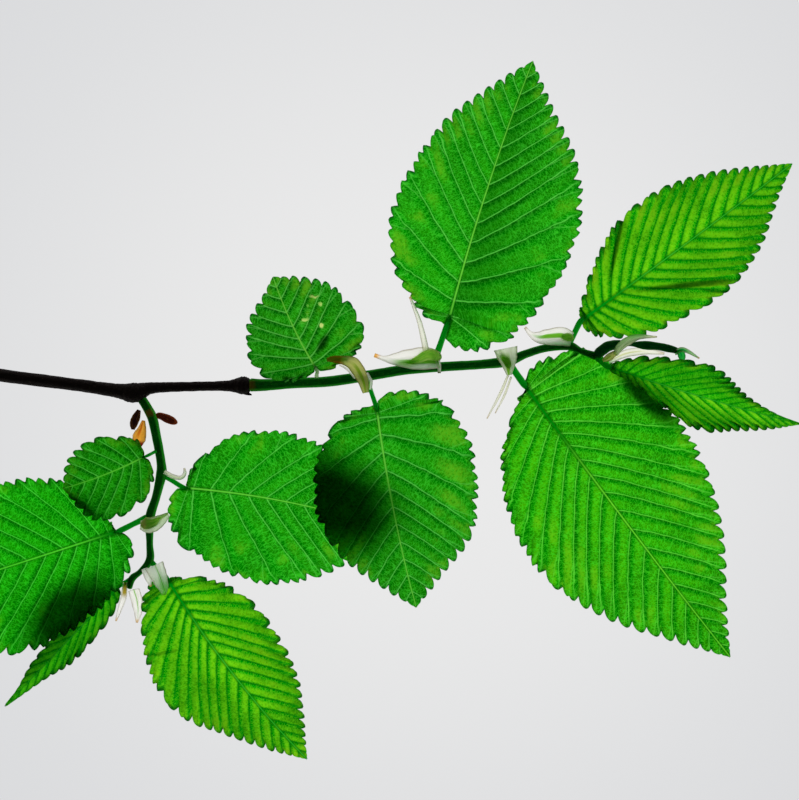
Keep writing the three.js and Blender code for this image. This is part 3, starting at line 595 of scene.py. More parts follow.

# Each leaf's shaded places are ovals of painted shade, given as x, y, length, width, turn and strength.
leaves = [
    {"name": "main_leaf_1", "look": "mature", "node": (-3.9, 7.4, 5.2), "stalk": 0.4,
     "stalkLook": "pale stalk", "foot": (-4.1, 9.4, 7.6), "heading": 115.3, "length": 22.1, "bow": 0.6,
     "tipHeight": 1.2, "arch": 1.8, "left": [7.4, 10.5, 11.8, 10.8, 8.4, 3.4],
     "right": [11.5, 13.2, 13.8, 12.9, 10.9, 5.8], "lobes": (1.2, 2.1), "joins": (0.7, 1.1),
     "edges": (-0.6, -1.4), "veinAngle": 48, "veins": 10, "pleat": 0.15, "tooth": 1.45,
     "shadedPlaces": [(-2.4, 14.8, 2.6, 1.2, 62, 0.85)],
     "finish": {"Tone": (0.5, 0.71, 0.72, 1), "Midrib Width": 0.3}, "spots": (-4.4, 20.6, 3.4, 4.6)},
    {"name": "main_leaf_2", "look": "mature", "node": (6.9, 7.6, 5.0), "stalk": 0.5,
     "foot": (9.4, -0.2, 4.5), "heading": -78.8, "length": 44.1, "bow": -0.7, "tipHeight": 0, "arch": 3.2,
     "left": [14.0, 17.6, 19.5, 18.7, 15.5, 6.8], "right": [8.6, 13.3, 16.2, 16.4, 12.5, 5.8],
     "lobes": (3.9, 1.6), "joins": (2.2, 1.5), "edges": (-3.2, -0.9), "veinAngle": 45, "veins": 13,
     "evenVeins": True, "pleat": 0.2, "tooth": 1.8, "shadedPlaces": [(1.2, -20.9, 15.5, 11.8, -18, 0.97)],
     "finish": {"Tone": (0.46, 0.78, 0.74, 1), "Left Flank": 0.7, "Right Flank": 0.7, "Midrib Width": 0.4,
                "Line Width": 0.22, "Line From": 0.0}},
    {"name": "main_leaf_3", "look": "mature", "node": (21.8, 10.4, 5.4), "stalk": 0.66,
     "foot": (25.2, 20.1, 6.6), "heading": 72, "length": 59.9, "bow": 0.9, "tipHeight": 0, "arch": 4.5,
     "left": [7.6, 14.7, 18.5, 17.1, 13.1, 6.2], "right": [14.2, 17.9, 21.3, 21.5, 16.3, 6.8],
     "lobes": (1.7, 6.0), "joins": (1.5, 4.4), "edges": (-2.6, -1.5), "veinAngle": 40, "veins": 16,
     "evenVeins": True, "pleat": 0.2, "tooth": 1.9,
     "finish": {"Tone": (0.54, 0.9, 0.76, 1), "Left Flank": 0.6, "Right Flank": 1.0, "Flank Width": 2.2,
                "Right Shade": 0.45, "Midrib Width": 0.55, "Line From": 0.14}},
    {"name": "main_leaf_4", "look": "mature", "node": (38.0, 10.8, 5.2), "stalk": 0.74,
     "foot": (42.1, 5.1, 4.8), "heading": -52.8, "length": 74.7, "bow": -0.5, "tipHeight": 0, "arch": 3.2,
     "left": [14.6, 19.3, 22.7, 21.5, 15.2, 6.2], "right": [1.6, 13.2, 20.3, 21.2, 15.4, 6.9],
     "lobes": (3.0, -0.6), "joins": (1.1, -0.9), "edges": (-3.2, -2.8), "veinAngle": 38, "veins": 22,
     "pleat": 0.2, "tooth": 1.75, "shadedPlaces": [(69.0, 3.2, 10.0, 3.4, -42, 0.96)],
     "finish": {"Tone": (0.62, 1.0, 0.5, 1), "Glow": (112, 200, 8), "Left Stripe": 0.45,
                "Right Stripe": 0.75, "Midrib Width": 0.8, "Line From": 0.5}},
    {"name": "main_leaf_5", "look": "young", "node": (51.3, 14.4, 5.2), "stalk": 0.64,
     "foot": (54.7, 20.1, 6.4), "heading": 36.6, "length": 57.6, "bow": -0.1, "tipHeight": 0, "arch": 5.0,
     "left": [1.8, 7.0, 12.4, 13.1, 9.7, 4.5], "right": [4.6, 10.2, 12.6, 13.7, 10.4, 4.2],
     "lobes": (0.6, 1.4), "joins": (0.6, 0.9), "edges": (-1.6, -1.6), "veinAngle": 35, "veins": 22,
     "pleat": 0.3, "tooth": 1.5, "shadedPlaces": [(77.0, 27.4, 12.5, 0.75, 6, 0.85),
                                                (84.5, 26.0, 5.0, 0.45, -4, 0.7),
                                                (61.8, 36.2, 9.0, 0.6, 78, 0.85)],
     "finish": {"Right Shade": 0.2}},
    {"name": "main_leaf_6", "look": "young", "node": (57.4, 11.8, 5.2), "stalk": 0.66,
     "foot": (60.8, 9.4, 5.2), "heading": -16.6, "length": 43.2, "bow": -0.5, "tipHeight": 3.2, "arch": 1.2,
     "left": [1.2, 4.1, 6.1, 6.7, 2.8, 0.8], "right": [0.9, 1.8, 4.5, 7.1, 4.8, 2.5], "lobes": (0.2, 0.2),
     "joins": (0.2, 0.2), "edges": (6, 4.6), "veinAngle": 24, "veins": 20, "pleat": 0.25, "tooth": 1.2,
     "shadedPlaces": [(93.0, 1.8, 7.0, 1.1, -26, 0.5), (64.5, 6.6, 3.5, 1.2, -24, 0.5)],
     "finish": {"Tone": (0.75, 1.02, 1, 1), "Midrib Width": 0.5, "Glow": (180, 236, 30), "Left Stripe": 0.1}},
    {"name": "side_leaf_1", "look": "mature", "node": (-38.5, -8.6, 4.3), "stalk": 0.34,
     "foot": (-41.7, -10.2, 6.6), "heading": -158.6, "length": 18.7, "bow": 0.5, "tipHeight": 8.8,
     "arch": 0.5, "left": [5.6, 7.9, 9.1, 9.7, 9.1, 7], "right": [4.2, 5.8, 7.4, 8.2, 7.1, 4.8],
     "lobes": (1.2, 0.6), "joins": (0.1, 0.1), "edges": (-0.4, -0.6), "veinAngle": 46, "veins": 9,
     "pleat": 0.15, "tooth": 1.3, "shadedPlaces": [(-55.6, -20.4, 5.4, 1.2, -38, 0.85)],
     "finish": {"Tone": (0.32, 0.69, 0.46, 1), "Midrib Width": 0.3}},
    {"name": "side_leaf_2", "look": "mature", "node": (-37.9, -14.0, 4.7), "stalk": 0.52,
     "foot": (-32.4, -17.0, 4.8), "heading": -11.7, "length": 45.6, "bow": 1.4, "tipHeight": 0, "arch": 0.4,
     "left": [4.6, 11.2, 14.5, 14.6, 11.6, 5], "right": [12.0, 15.0, 18.1, 18.4, 14.6, 8],
     "lobes": (0.4, 3.5), "joins": (0.2, 2.0), "edges": (-1.4, -2.4), "veinAngle": 43, "veins": 13,
     "evenVeins": True, "pleat": 0.2, "tooth": 1.7,
     "finish": {"Tone": (0.46, 0.87, 0.68, 1), "Left Flank": 0.6, "Right Flank": 0.6, "Midrib Width": 0.5,
                "Line From": 0.1}},
    {"name": "side_leaf_3", "look": "mature", "node": (-40.6, -23.2, 5.2), "stalk": 0.62,
     "foot": (-47.6, -26.5, 6.4), "heading": -162.1, "length": 56.6, "bow": 0, "tipHeight": 0, "arch": 5.2,
     "left": [8.9, 14.0, 17.7, 18.7, 14.3, 6.5], "right": [1.2, 12.9, 17.3, 17.7, 12.8, 6],
     "lobes": (2.7, -0.3), "joins": (0.7, -0.4), "edges": (-1.1, -3.0), "veinAngle": 42, "veins": 17,
     "pleat": 0.2, "tooth": 1.8, "shadedPlaces": [(-58.3, -44.7, 12.5, 6.8, 38, 0.94)],
     "finish": {"Tone": (0.34, 1.0, 0.48, 1), "Left Flank": 1.0, "Midrib Width": 0.75, "Line From": 0.3}},
    {"name": "side_leaf_4", "look": "young", "node": (-40.4, -33.0, 5.0), "stalk": 0.55,
     "foot": (-36.4, -37.3, 5.0), "heading": -52.7, "length": 49.8, "bow": -1.0, "tipHeight": 0, "arch": 4.2,
     "left": [1.2, 8.4, 12.6, 12.6, 10.0, 4.6], "right": [7.2, 11.4, 15.0, 15.0, 9.5, 4.4],
     "lobes": (0.3, 2.2), "joins": (0.2, 1.6), "edges": (-1.8, -2.2), "veinAngle": 36, "veins": 20,
     "pleat": 0.3, "tooth": 1.55, "shadedPlaces": [(-37.6, -53.2, 4.0, 0.45, 12, 0.5)],
     "finish": {"Midrib Width": 0.65, "Midrib Taper": 0.6}},
    {"name": "side_leaf_5", "look": "young", "node": (-44.4, -36.9, 4.6), "stalk": 0.5,
     "foot": (-47.6, -39.0, 4.3), "heading": -133.8, "length": 36.3, "bow": 0.1, "tipHeight": 0, "arch": 0.8,
     "left": [1.2, 3.1, 3.9, 4, 2.2, 1], "right": [0.8, 2.6, 3.2, 2.8, 2.2, 0.7], "lobes": (0.1, 0.1),
     "joins": (0.1, 0.1), "edges": (4.2, 2.4), "veinAngle": 26, "veins": 16, "pleat": 0.4, "tooth": 0.95,
     "shadedPlaces": [(-62.0, -52.5, 14.0, 1.6, 46, 0.6)],
     "finish": {"Tone": (0.36, 0.82, 0.8, 1), "Midrib Width": 0.4}},
]


def rootOf(leaf, q):
    if q < bladeShape["lobeShare"]:
        return leaf["length"] * bladeShape["firstVein"] * q / bladeShape["lobeShare"]
    past = (q - bladeShape["lobeShare"]) / (1 - bladeShape["lobeShare"])
    if leaf.get("evenVeins"):
        past **= bladeShape["evenCrowding"]
        place = past + bladeShape["tipCrowding"] * math.sin(math.pi * past) / math.pi
    else:
        past **= bladeShape["footCrowding"]
        place = past - bladeShape["veinCrowding"] * math.sin(2 * math.pi * past) / (2 * math.pi)
    return leaf["length"] * (bladeShape["firstVein"] + (1 - bladeShape["firstVein"]) * place)


def halfWidthAt(leaf, side, along):
    halfWidths = [*leaf[side], bladeShape["tipHalfWidth"]]
    return smoothThrough(bladeShape["stations"], halfWidths, along / leaf["length"])


def marginOf(leaf, side, q):
    # the first veins fan round the lobe; each of the others runs out at its angle to the blade's width
    if q < bladeShape["lobeShare"]:
        number = 0 if side == "left" else 1
        lobe, join = leaf["lobes"][number], leaf["joins"][number]
        share = math.sin(math.pi / 2 * q / bladeShape["lobeShare"])
        stalk = bladeShape["stalkHalfWidth"]
        first = leaf["length"] * bladeShape["firstVein"]
        widest = halfWidthAt(leaf, side, first)
        fall = lobe * (1 - share ** 3) - (lobe - join) * max(0, 1 - share / 0.25) ** 2
        return first * share - fall, stalk + (widest - stalk) * share
    past = (q - bladeShape["lobeShare"]) / (1 - bladeShape["lobeShare"])
    fan = bladeShape["evenVeinFan" if leaf.get("evenVeins") else "veinFan"]
    fanned = max(0, 1 - past / fan) ** 2
    angle = math.radians(leaf["veinAngle"] + (90 - leaf["veinAngle"]) * fanned)
    root = rootOf(leaf, q)
    near, far = root, root + leaf["length"]
    halvings = 40
    for _ in range(halvings):
        middle = (near + far) / 2
        if middle - root < halfWidthAt(leaf, side, middle) / math.tan(angle):
            near = middle
        else:
            far = middle
    return near, halfWidthAt(leaf, side, near)


def bladePoint(leaf, q, s, marginAlong, marginOut, shift):
    share = abs(s)
    root = rootOf(leaf, q)
    along = root + (marginAlong - root) * share ** bladeShape["veinCurve"] + shift[0]
    a = min(max(along / leaf["length"], 0), 1)
    hump = 4 * a * (1 - a)
    heading = math.radians(leaf["heading"])
    sideways = marginOut * s + shift[1] * math.copysign(1, s) + leaf["bow"] * hump
    side, widest = (0, max(leaf["left"])) if s >= 0 else (1, max(leaf["right"]))
    height = leaf["foot"][2] + (leaf["tipHeight"] - leaf["foot"][2]) * a + leaf["arch"] * hump
    height += leaf["edges"][side] * share ** bladeShape["foldShape"] * marginOut / widest
    return Vector((leaf["foot"][0] + math.cos(heading) * along - math.sin(heading) * sideways,
                   leaf["foot"][1] + math.sin(heading) * along + math.cos(heading) * sideways, height))


def notchDepth(f, smallTeeth, nick):
    # 0 at a tooth's point and 1 in the notch just past it; small teeth divide a long tooth's back
    notch = bladeShape["notchPlace"]
    blunt = 0.2 * max(0, (f - 0.78) / 0.22) ** 2
    if f < notch:
        main = 0.2 + 0.8 * softStep(0, notch, f)
    else:
        main = ((1 - f) / (1 - notch)) ** bladeShape["toothRoundness"] + blunt
    if smallTeeth == 1:
        return main
    g = f * smallTeeth % 1
    small = softStep(0, 0.25, g) if g < 0.25 else ((1 - g) / 0.75) ** 2
    if smallTeeth == 2:
        return main + nick * small * (f >= 0.5)
    return 0.35 * main + 0.65 * small


def makeBlade(leaf):
    random.seed(leaf["name"])
    veins, columns = leaf["veins"], bladeShape["columns"]
    teeth = {}
    for side in ("left", "right"):
        points = [Vector(marginOf(leaf, side, min(k, veins) / veins)) for k in range(veins + 2)]
        for k in range(veins + 1):
            smallTeeth = round((points[k + 1] - points[k]).length / bladeShape["smallToothPitch"])
            smallTeeth = min(max(smallTeeth, 1), 5)
            teeth[side, k] = (random.uniform(0.8, 1.15), smallTeeth, random.uniform(0.12, 0.36))
    phases = [n + f for n in range(veins) for f in bladeShape["rowSteps"]] + [veins]
    ladderSlope = math.cos(math.radians(leaf["veinAngle"]))
    bm = bmesh.new()
    for name in ("veins", "lengths", "rim"):
        bm.loops.layers.uv.new(name)
    made = bmesh.ops.create_grid(bm, x_segments=2 * columns, y_segments=len(phases) - 1, size=0.5)
    facts = {}
    margins = {}
    for vert in made["verts"]:
        meshShare = round(-2 * vert.co.x * columns) / columns
        phase = phases[round((vert.co.y + 0.5) * (len(phases) - 1))]
        spread = abs(meshShare)
        side = "left" if meshShare >= 0 else "right"
        if side == "right":  # the right side's veins leave the midrib between the left side's
            phase += 0.5 * softStep(0, 1.5, min(phase, veins - phase)) * min(1, spread / 0.12)
        q = phase / veins
        spread *= 1.35 - 0.35 * spread  # columns lie closer together towards the margin
        signedSpread = math.copysign(spread, meshShare) if meshShare else 0.0
        if (side, q) not in margins:
            low, high = max(q - 0.3 / veins, 0), min(q + 0.3 / veins, 1)
            step = Vector(marginOf(leaf, side, high)) - Vector(marginOf(leaf, side, low))
            span = (high - low) * veins
            rootStep = rootOf(leaf, high) - rootOf(leaf, low)
            margins[side, q] = (*marginOf(leaf, side, q), step.normalized(),
                                rootStep / span, step.length / span)
        marginAlong, marginOut, onwards, rootPitch, marginPitch = margins[side, q]
        inwards = Vector((onwards.y, -onwards.x))
        vein = Vector((marginAlong - rootOf(leaf, q), marginOut))
        depth, smallTeeth, nick = teeth[side, int(phase)]
        outOfStalk = min(1, max(marginOut - 0.5, 0) / 4)
        tooth = leaf["tooth"] * depth * outOfStalk * softStep(-0.3, 0.8, veins - phase)
        cut = notchDepth(phase - int(phase), smallTeeth, nick) - bladeShape["toothReach"]
        atEdge = max(0, (spread - bladeShape["toothRoot"]) / (1 - bladeShape["toothRoot"]))
        shift = (inwards * cut + onwards * (0.5 - cut) * bladeShape["toothLean"]) * tooth * atEdge
        point = bladePoint(leaf, q, signedSpread, marginAlong, marginOut, shift)
        small = min(1, marginOut / bladeShape["fullPleatWidth"])
        point.z -= leaf["pleat"] * small * math.cos(2 * math.pi * phase) * min(1, 2 * spread)
        waves = Vector((q * 9, meshShare * 4, len(leaf["name"]) + leaf["heading"]))
        point.z += bladeShape["unevenness"] * small * noise.noise(waves)
        point.z = max(point.z, bladeShape["thickness"] / 2)
        vert.co = placed(point)
        depthInside = max(-vein.dot(inwards), 0.5 * vein.length) * (1 - spread) - cut * tooth * (1 - atEdge)
        veinPitch = bladeShape["slant"] * (rootPitch + (marginPitch - rootPitch) * spread)
        facts[vert] = {"veins": (phase, signedSpread),
                       "lengths": (marginOut * spread, vein.length * spread + rootOf(leaf, q) * ladderSlope),
                       "rim": (max(depthInside, 0), veinPitch)}
    for name in ("veins", "lengths", "rim"):
        writeUvs(bm, name, {vert: fact[name] for vert, fact in facts.items()})
    return bm


stalkShape = {"overlap": 0.9, "lastStretch": 1.8, "rise": 0.1, "taper": (1.25, 1, 1, 0.35),
              "sides": 20, "rings": 48, "roughen": 0.03}
stalkMaterials = {look: stemMaterial("skin_of_" + look.replace(" ", "_"), look)
                  for look in ("stalk", "pale stalk")}
for leaf in leaves:
    blade = finishPiece(leaf["name"] + "_blade", makeBlade(leaf), leafMaterial(leaf),
                        leaf["look"] + "_leaf", leaf["name"])
    thicken(blade, bladeShape["thickness"])

    # the stalk ends where the midrib starts
    heading = math.radians(leaf["heading"])
    ahead = Vector((math.cos(heading), math.sin(heading), 0))
    start, end = Vector(leaf["node"]), Vector(leaf["foot"]) + ahead * stalkShape["overlap"]
    entering = end - ahead * stalkShape["lastStretch"] - worldUp * stalkShape["rise"]
    bm = bmesh.new()
    radii = [share * leaf["stalk"] for share in stalkShape["taper"]]
    addTube(bm, [start, start.lerp(entering, 0.5), entering, end], radii, stalkShape["sides"],
            stalkShape["rings"], stalkShape["roughen"], leaf["heading"], flatEnd=True)
    material = stalkMaterials[leaf.get("stalkLook", "stalk")]
    finishPiece(leaf["name"] + "_stalk", bm, material, leaf["look"] + "_leaf")
print("leaves ready")

# Papery blades: Across runs -1 to 1 from side to side and Along 0 to 1 from the node to the tip.
paperTone, given, result = newGroup("paperTone", {
    "Across": 0.0, "Along": 0.0, **dict.fromkeys(("Paper", "Rib", "Tip", "Edge")),
    "Rib Middle": 0.0, "Rib Width": 0.3, "Rib Length": 0.8, "Tip From": 0.85}, ["Color"])
across, along, ribWidth, ribLength, tipFrom = (
    given[name] for name in ("Across", "Along", "Rib Width", "Rib Length", "Tip From"))
streaks = noiseOf(joined(across * 3.0, along * 1.2), 1.6, 3.0, 0.6)
colour = given["Paper"].blended(given["Edge"], streaks.ramped(0.5, 0.68, 0.0, 0.45))
fromRib = abs(across - given["Rib Middle"]) + streaks * 0.25
onRib = fromRib.ramped(ribWidth + 0.12, ribWidth) * along.ramped(ribLength, ribLength * 0.55)
colour = colour.blended(given["Rib"], onRib)
colour = colour.blended(given["Edge"], abs(across).ramped(0.82, 1.0, 0.0, 0.7))
feed(result["Color"], colour.blended(given["Tip"], along.ramped(tipFrom, tipFrom + 0.12)))

paperFinish = {
    "white": {"Paper": (232, 231, 224), "Rib": (96, 168, 36), "Tip": (232, 168, 70), "Edge": (176, 166, 138)},
    "olive": {"Paper": (168, 172, 96), "Rib": (112, 146, 30), "Tip": (170, 104, 24), "Edge": (132, 118, 58)},
    "green": {"Paper": (214, 220, 196), "Rib": (72, 152, 20), "Tip": (190, 140, 80), "Edge": (150, 160, 110)},
    "pale": {"Paper": (168, 190, 138), "Rib": (120, 162, 84), "Tip": (190, 190, 150), "Edge": (104, 134, 66)},
    "wisp": {"Paper": (228, 228, 214), "Rib": (190, 196, 140), "Tip": (210, 200, 176),
             "Edge": (176, 178, 136)},
    "dark": {"Paper": (18, 6, 6), "Rib": (10, 4, 4), "Tip": (120, 70, 20), "Edge": (120, 80, 20)},
    "amber": {"Paper": (214, 150, 44), "Rib": (180, 92, 20), "Tip": (120, 30, 16), "Edge": (228, 186, 110)},
}


def paperMaterial(scale):
    material, tree, surface = newMaterial("paper_" + scale["name"])
    across, along = uvParts(tree, "sheet")
    finish = {**paperFinish[scale["look"]], **scale.get("finish", {})}
    colour = placeGroup(tree, paperTone, {"Across": across, "Along": along, **finish})["Color"]
    feed(surface.inputs["Base Color"], colour)
    feed(surface.inputs["Roughness"], 0.4)
    letLightThrough(surface, colour, through=0.98, gain=1.24)
    return material


sheetShape = {"columns": 10, "rowsForEachSpan": 12, "thickness": 0.16, "leastHalfWidth": 0.05,
              "foldShape": 1.6, "crumple": 0.12, "edgeWave": 0.08, "leastHeight": 0.1}


def addRibbon(bm, scale):
    # a blade along a line of points; fold lifts its sides over its middle
    bm.loops.layers.uv.new("sheet")
    rows = sheetShape["rowsForEachSpan"] * (len(scale["line"]) - 1)
    made = bmesh.ops.create_grid(bm, x_segments=sheetShape["columns"], y_segments=rows, size=0.5)
    facts = {}
    for vert in made["verts"]:
        across, t = 2 * vert.co.x, vert.co.y + 0.5
        tangent = pathTangent(scale["line"], t)
        sideways = tangent.cross(worldUp).normalized()
        upwards = sideways.cross(tangent)
        width = max(alongList(scale["halfWidths"], t), sheetShape["leastHalfWidth"])
        lift = scale["fold"] * width * abs(across) ** sheetShape["foldShape"]
        crumple = noise.noise(Vector((across * 2.5, t * 5, len(scale["name"]))))
        lift += sheetShape["crumple"] * width * crumple
        wave = noise.noise(Vector((t * 9, across, 3.0)))
        out = width * across * (1 + sheetShape["edgeWave"] * wave)
        point = pathPoint(scale["line"], t) + sideways * out + upwards * lift
        point.z = max(point.z, sheetShape["leastHeight"])
        vert.co = placed(point)
        facts[vert] = (across, t)
    writeUvs(bm, "sheet", facts)


scales = [
    {"name": "stipule_main_2", "look": "olive", "node": "stipule_main_2", "fold": 0.5,
     "line": [(6.9, 3.9, 6.4), (6.4, 6.3, 6.8), (5.4, 8.6, 7.1), (4.0, 10.3, 7.4), (2.0, 11.0, 7.8),
              (-0.2, 11.2, 8.2), (-1.6, 11.1, 8.5)], "halfWidths": [0.6, 1.1, 1.4, 1.4, 0.95, 0.7, 0.3],
     "finish": {"Tip From": 0.62, "Rib Length": 0.6, "Rib Width": 0.35}},
    {"name": "stipule_main_2_fold", "look": "white", "fold": 0.3,
     "line": [(4.9, 7.2, 6.6), (4.1, 8.8, 6.8), (2.8, 9.9, 7.0), (1.2, 10.2, 7.2)],
     "halfWidths": [0.6, 1.0, 0.9, 0.4], "finish": {"Rib Width": 0.0, "Tip From": 1.0}},
    {"name": "stipule_main_2_side", "look": "white", "fold": 0.3,
     "line": [(7.6, 4.6, 6.3), (7.7, 6.4, 6.6), (7.0, 8.2, 6.8)], "halfWidths": [0.5, 0.7, 0.4],
     "finish": {"Tip From": 1.0}},
    {"name": "stipule_main_3", "look": "white", "node": "stipule_main_3", "fold": 0.35,
     "line": [(23.0, 11.0, 6.5), (20.2, 11.4, 6.8), (16.8, 11.3, 7.0), (13.4, 11.2, 7.0), (10.9, 11.4, 7.1),
              (8.8, 12.1, 7.3)], "halfWidths": [1.7, 2.4, 2.2, 1.35, 0.55, 0.4],
     "finish": {"Rib Middle": -0.3, "Rib Width": 0.28, "Rib Length": 0.75, "Tip From": 0.86}},
    {"name": "stipule_main_3_long", "look": "wisp", "node": "stipule_main_3_long", "fold": 0.6,
     "line": [(20.1, 13.2, 7.6), (18.7, 19.2, 7.3), (16.6, 24.9, 6.6)], "halfWidths": [0.65, 0.48, 0.2],
     "finish": {"Tip From": 0.9, "Rib Width": 0.0, "Tip": (226, 160, 100)}},
    {"name": "stipule_main_3_hanging", "look": "white", "fold": 0.4,
     "line": [(22.6, 11.2, 6.9), (23.0, 9.4, 6.9), (23.0, 8.2, 6.6)], "halfWidths": [0.5, 0.4, 0.3],
     "finish": {"Tip From": 0.8, "Tip": (90, 90, 40)}},
    {"name": "stipule_main_4", "look": "green", "node": "stipule_main_4", "fold": 0.35,
     "line": [(38.3, 7.8, 6.5), (38.2, 9.6, 6.9), (37.9, 11.6, 7.2), (37.5, 13.6, 7.2)],
     "halfWidths": [0.5, 1.3, 2.1, 2.6],
     "finish": {"Rib": (120, 176, 44), "Rib Width": 0.45, "Rib Middle": -0.15, "Rib Length": 0.95,
                "Tip From": 1.0}},
    {"name": "stipule_main_4_wisp_left", "look": "wisp", "fold": 0.6,
     "line": [(38.2, 7.9, 5.4), (36.4, 3.6, 3.2), (33.6, -1.8, 1.0)], "halfWidths": [0.2, 0.25, 0.1]},
    {"name": "stipule_main_4_wisp_right", "look": "wisp", "fold": 0.6,
     "line": [(38.8, 7.4, 5.2), (37.4, 3.4, 3.0), (35.4, -0.6, 1.2)], "halfWidths": [0.18, 0.2, 0.08]},
    {"name": "stipule_main_5", "look": "white", "node": "stipule_main_5", "fold": 0.35,
     "line": [(52.0, 15.6, 6.6), (49.8, 16.2, 6.8), (47.0, 16.1, 6.8), (44.8, 16.0, 6.6), (43.0, 16.8, 6.2),
              (41.8, 18.2, 5.9)], "halfWidths": [1.5, 2.0, 1.75, 1.25, 0.55, 0.25],
     "finish": {"Rib Middle": 0.1, "Rib Width": 0.34, "Rib Length": 0.85, "Tip From": 0.9,
                "Tip": (170, 150, 110)}},
    {"name": "stipule_main_6", "look": "pale", "node": "stipule_main_6", "fold": 0.4,
     "line": [(61.5, 12.2, 7.2), (62.5, 13.9, 7.9), (64.4, 15.3, 7.9), (66.8, 16.1, 7.8), (70.6, 16.1, 7.8)],
     "halfWidths": [0.45, 0.85, 0.9, 0.55, 0.12],
     "finish": {"Paper": (190, 206, 164), "Rib Width": 0.15, "Rib Middle": 0.5}},
    {"name": "stipule_main_6_base", "look": "olive", "fold": 0.3,
     "line": [(58.8, 10.9, 6.4), (60.2, 11.7, 6.7), (61.8, 12.8, 7.0)], "halfWidths": [0.3, 0.8, 0.5],
     "finish": {"Tip From": 1.0}},
    {"name": "stipule_main_6_wisp", "look": "wisp", "fold": 0.5,
     "line": [(60.2, 10.8, 4.4), (64.0, 12.5, 4.8), (68.0, 13.0, 5.2), (72.4, 12.5, 5.4)],
     "halfWidths": [0.5, 0.8, 0.7, 0.2]},
    {"name": "stipule_end_curl", "look": "green", "fold": 0.7,
     "line": [(74.4, 12.6, 8.3), (75.9, 13.3, 8.7), (77.6, 12.7, 8.7), (79.8, 11.4, 8.2)],
     "halfWidths": [0.5, 0.5, 0.35, 0.1],
     "finish": {"Paper": (130, 176, 120), "Rib": (20, 134, 52), "Rib Width": 0.6, "Tip From": 0.9}},
    {"name": "stipule_end_drop", "look": "green", "fold": 0.5,
     "line": [(75.2, 13.3, 8.3), (75.9, 12.1, 8.0), (76.2, 10.6, 7.5)], "halfWidths": [0.5, 0.8, 0.35],
     "finish": {"Paper": (30, 150, 50), "Edge": (0, 110, 40), "Rib": (0, 120, 40), "Tip From": 1.0}},
    {"name": "stipule_side_2", "look": "wisp", "node": "stipule_side_2", "fold": 0.6,
     "line": [(-37.2, -13.4, 6.3), (-35.4, -14.4, 6.6), (-33.6, -14.7, 6.7), (-32.7, -13.8, 6.8),
              (-32.8, -12.6, 6.8)], "halfWidths": [0.4, 0.45, 0.4, 0.35, 0.15]},
    {"name": "stipule_side_3", "look": "green", "node": "stipule_side_3", "fold": 0.4,
     "line": [(-42.4, -25.0, 6.9), (-40.4, -25.2, 7.0), (-38.2, -24.2, 7.0), (-36.2, -22.8, 6.7)],
     "halfWidths": [0.9, 1.6, 1.3, 0.4], "finish": {"Rib Width": 0.25, "Rib Middle": 0.2, "Tip From": 1.0}},
    {"name": "stipule_side_4", "look": "white", "node": "stipule_side_4", "fold": 0.3,
     "line": [(-39.4, -33.9, 6.6), (-38.6, -35.6, 6.7), (-37.9, -37.4, 6.7), (-37.4, -38.9, 6.7),
              (-37.3, -40.4, 6.6)], "halfWidths": [2.1, 1.9, 1.55, 1.1, 0.35],
     "finish": {"Rib Width": 0.12, "Rib Middle": -0.1, "Rib Length": 1.2, "Tip From": 0.9,
                "Tip": (150, 166, 60)}},
    {"name": "stipule_side_4_left", "look": "white", "fold": 0.3,
     "line": [(-41.6, -34.6, 6.2), (-40.8, -36.6, 6.0), (-40.2, -38.6, 5.6)], "halfWidths": [0.7, 0.7, 0.2],
     "finish": {"Rib Width": 0.0}},
    {"name": "stipule_side_5_left", "look": "white", "node": "stipule_side_5_left", "fold": 0.4,
     "line": [(-45.9, -37.7, 4.9), (-46.3, -41.0, 3.6), (-47.3, -43.8, 2.6), (-48.2, -46.4, 1.6)],
     "halfWidths": [0.45, 0.6, 0.45, 0.15],
     "finish": {"Rib": (150, 132, 34), "Rib Width": 0.8, "Rib Length": 0.4, "Tip": (206, 176, 130)}},
    {"name": "stipule_side_5_right", "look": "white", "node": "stipule_side_5_right", "fold": 0.3,
     "line": [(-44.1, -39.3, 3.6), (-43.5, -41.8, 2.6), (-43.3, -44.2, 1.9), (-43.6, -46.8, 1.2)],
     "halfWidths": [1.2, 1.25, 0.9, 0.2],
     "finish": {"Rib Width": 0.14, "Rib Length": 1.1, "Tip": (206, 176, 130)}},
    {"name": "bud_scale_dark", "look": "dark", "node": "bud_scale_dark", "fold": 0.8, "slot": "bud",
     "line": [(-43.0, 0.1, 2.7), (-43.6, -1.4, 2.5), (-44.2, -3.0, 2.3), (-44.4, -4.2, 2.1)],
     "halfWidths": [0.35, 0.85, 0.8, 0.3], "finish": {"Tip From": 1.0}},
    {"name": "bud_scale_amber", "look": "amber", "node": "bud_scale_amber", "fold": 0.6, "slot": "bud",
     "line": [(-41.9, -2.2, 4.4), (-42.2, -4.0, 4.6), (-42.8, -6.0, 4.7), (-43.4, -8.2, 4.9)],
     "halfWidths": [0.3, 0.9, 1.45, 0.8], "finish": {"Tip From": 0.72, "Rib Middle": 0.3}},
]
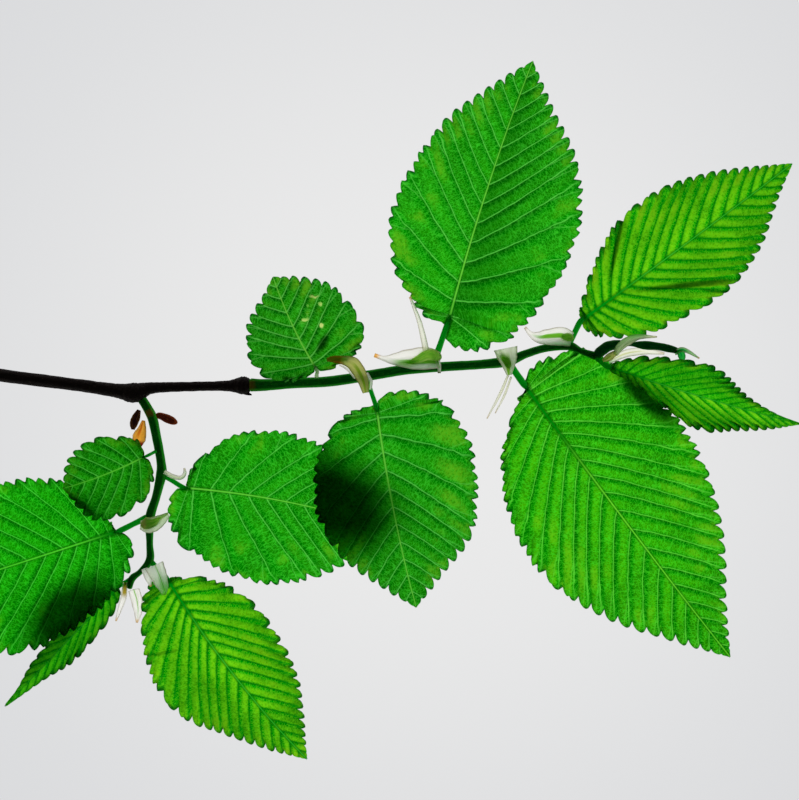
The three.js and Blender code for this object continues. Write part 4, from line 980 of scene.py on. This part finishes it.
for scale in scales:
    bm = bmesh.new()
    addRibbon(bm, scale)
    piece = finishPiece(scale["name"] + "_sheet", bm, paperMaterial(scale), scale.get("slot", "stipule"),
                        *([scale["node"]] if "node" in scale else []))
    thicken(piece, sheetShape["thickness"])
print("stipules and bud scales ready")


def tableMaterial():
    # the glowing table, brightest under the twig
    material, tree, _ = newMaterial("light_table")
    glow = addNode(tree, "ShaderNodeEmission")
    distance = addNode(tree, "ShaderNodeVectorMath", operation="DISTANCE")
    feed(distance.inputs[0], objectPlace(tree))
    distance.inputs[1].default_value = placed((20, 4, 0))
    fade = Signal(distance.outputs["Value"]).ramped(0.02, 0.145)
    feed(glow.inputs["Color"], blendColours(tree, (234, 234, 234), (218, 219, 221), fade))
    feed(tree.nodes["Material Output"].inputs["Surface"], Signal(glow.outputs[0]))
    return material


tableSize, gapUnderTwig = 4, 0.2 * millimetre
bm = bmesh.new()
bmesh.ops.create_grid(bm, x_segments=1, y_segments=1, size=tableSize)
shape = bpy.data.meshes.new("light_table")
bm.to_mesh(shape)
bm.free()
shape.materials.append(tableMaterial())
table = bpy.data.objects.new("light_table", shape)
table.location.z = -gapUnderTwig
bpy.context.scene.collection.objects.link(table)

world = bpy.data.worlds.new("room")
world.use_nodes = True
tree = world.node_tree
toCamera = Signal(addNode(tree, "ShaderNodeLightPath").outputs["Is Camera Ray"])
roomLight = blendColours(tree, (0.07, 0.07, 0.07, 1), (214, 216, 219), toCamera)
feed(tree.nodes["Background"].inputs["Color"], roomLight)
bpy.context.scene.world = world

cameraView = {"middle": (14.3, 2.3, 3.0), "width": 176.0, "lens": 150, "sensor": 36}
lens = bpy.data.cameras.new("camera")
lens.lens = cameraView["lens"]
lens.sensor_width = cameraView["sensor"]
lens.clip_start, lens.clip_end = 0.01, 20
camera = bpy.data.objects.new("camera", lens)
above = Vector((0, 0, cameraView["width"] * cameraView["lens"] / cameraView["sensor"] * millimetre))
camera.location = placed(cameraView["middle"]) + above
bpy.context.scene.collection.objects.link(camera)
bpy.context.scene.camera = camera
bpy.context.scene.view_settings.view_transform = "Standard"

print("scene ready")
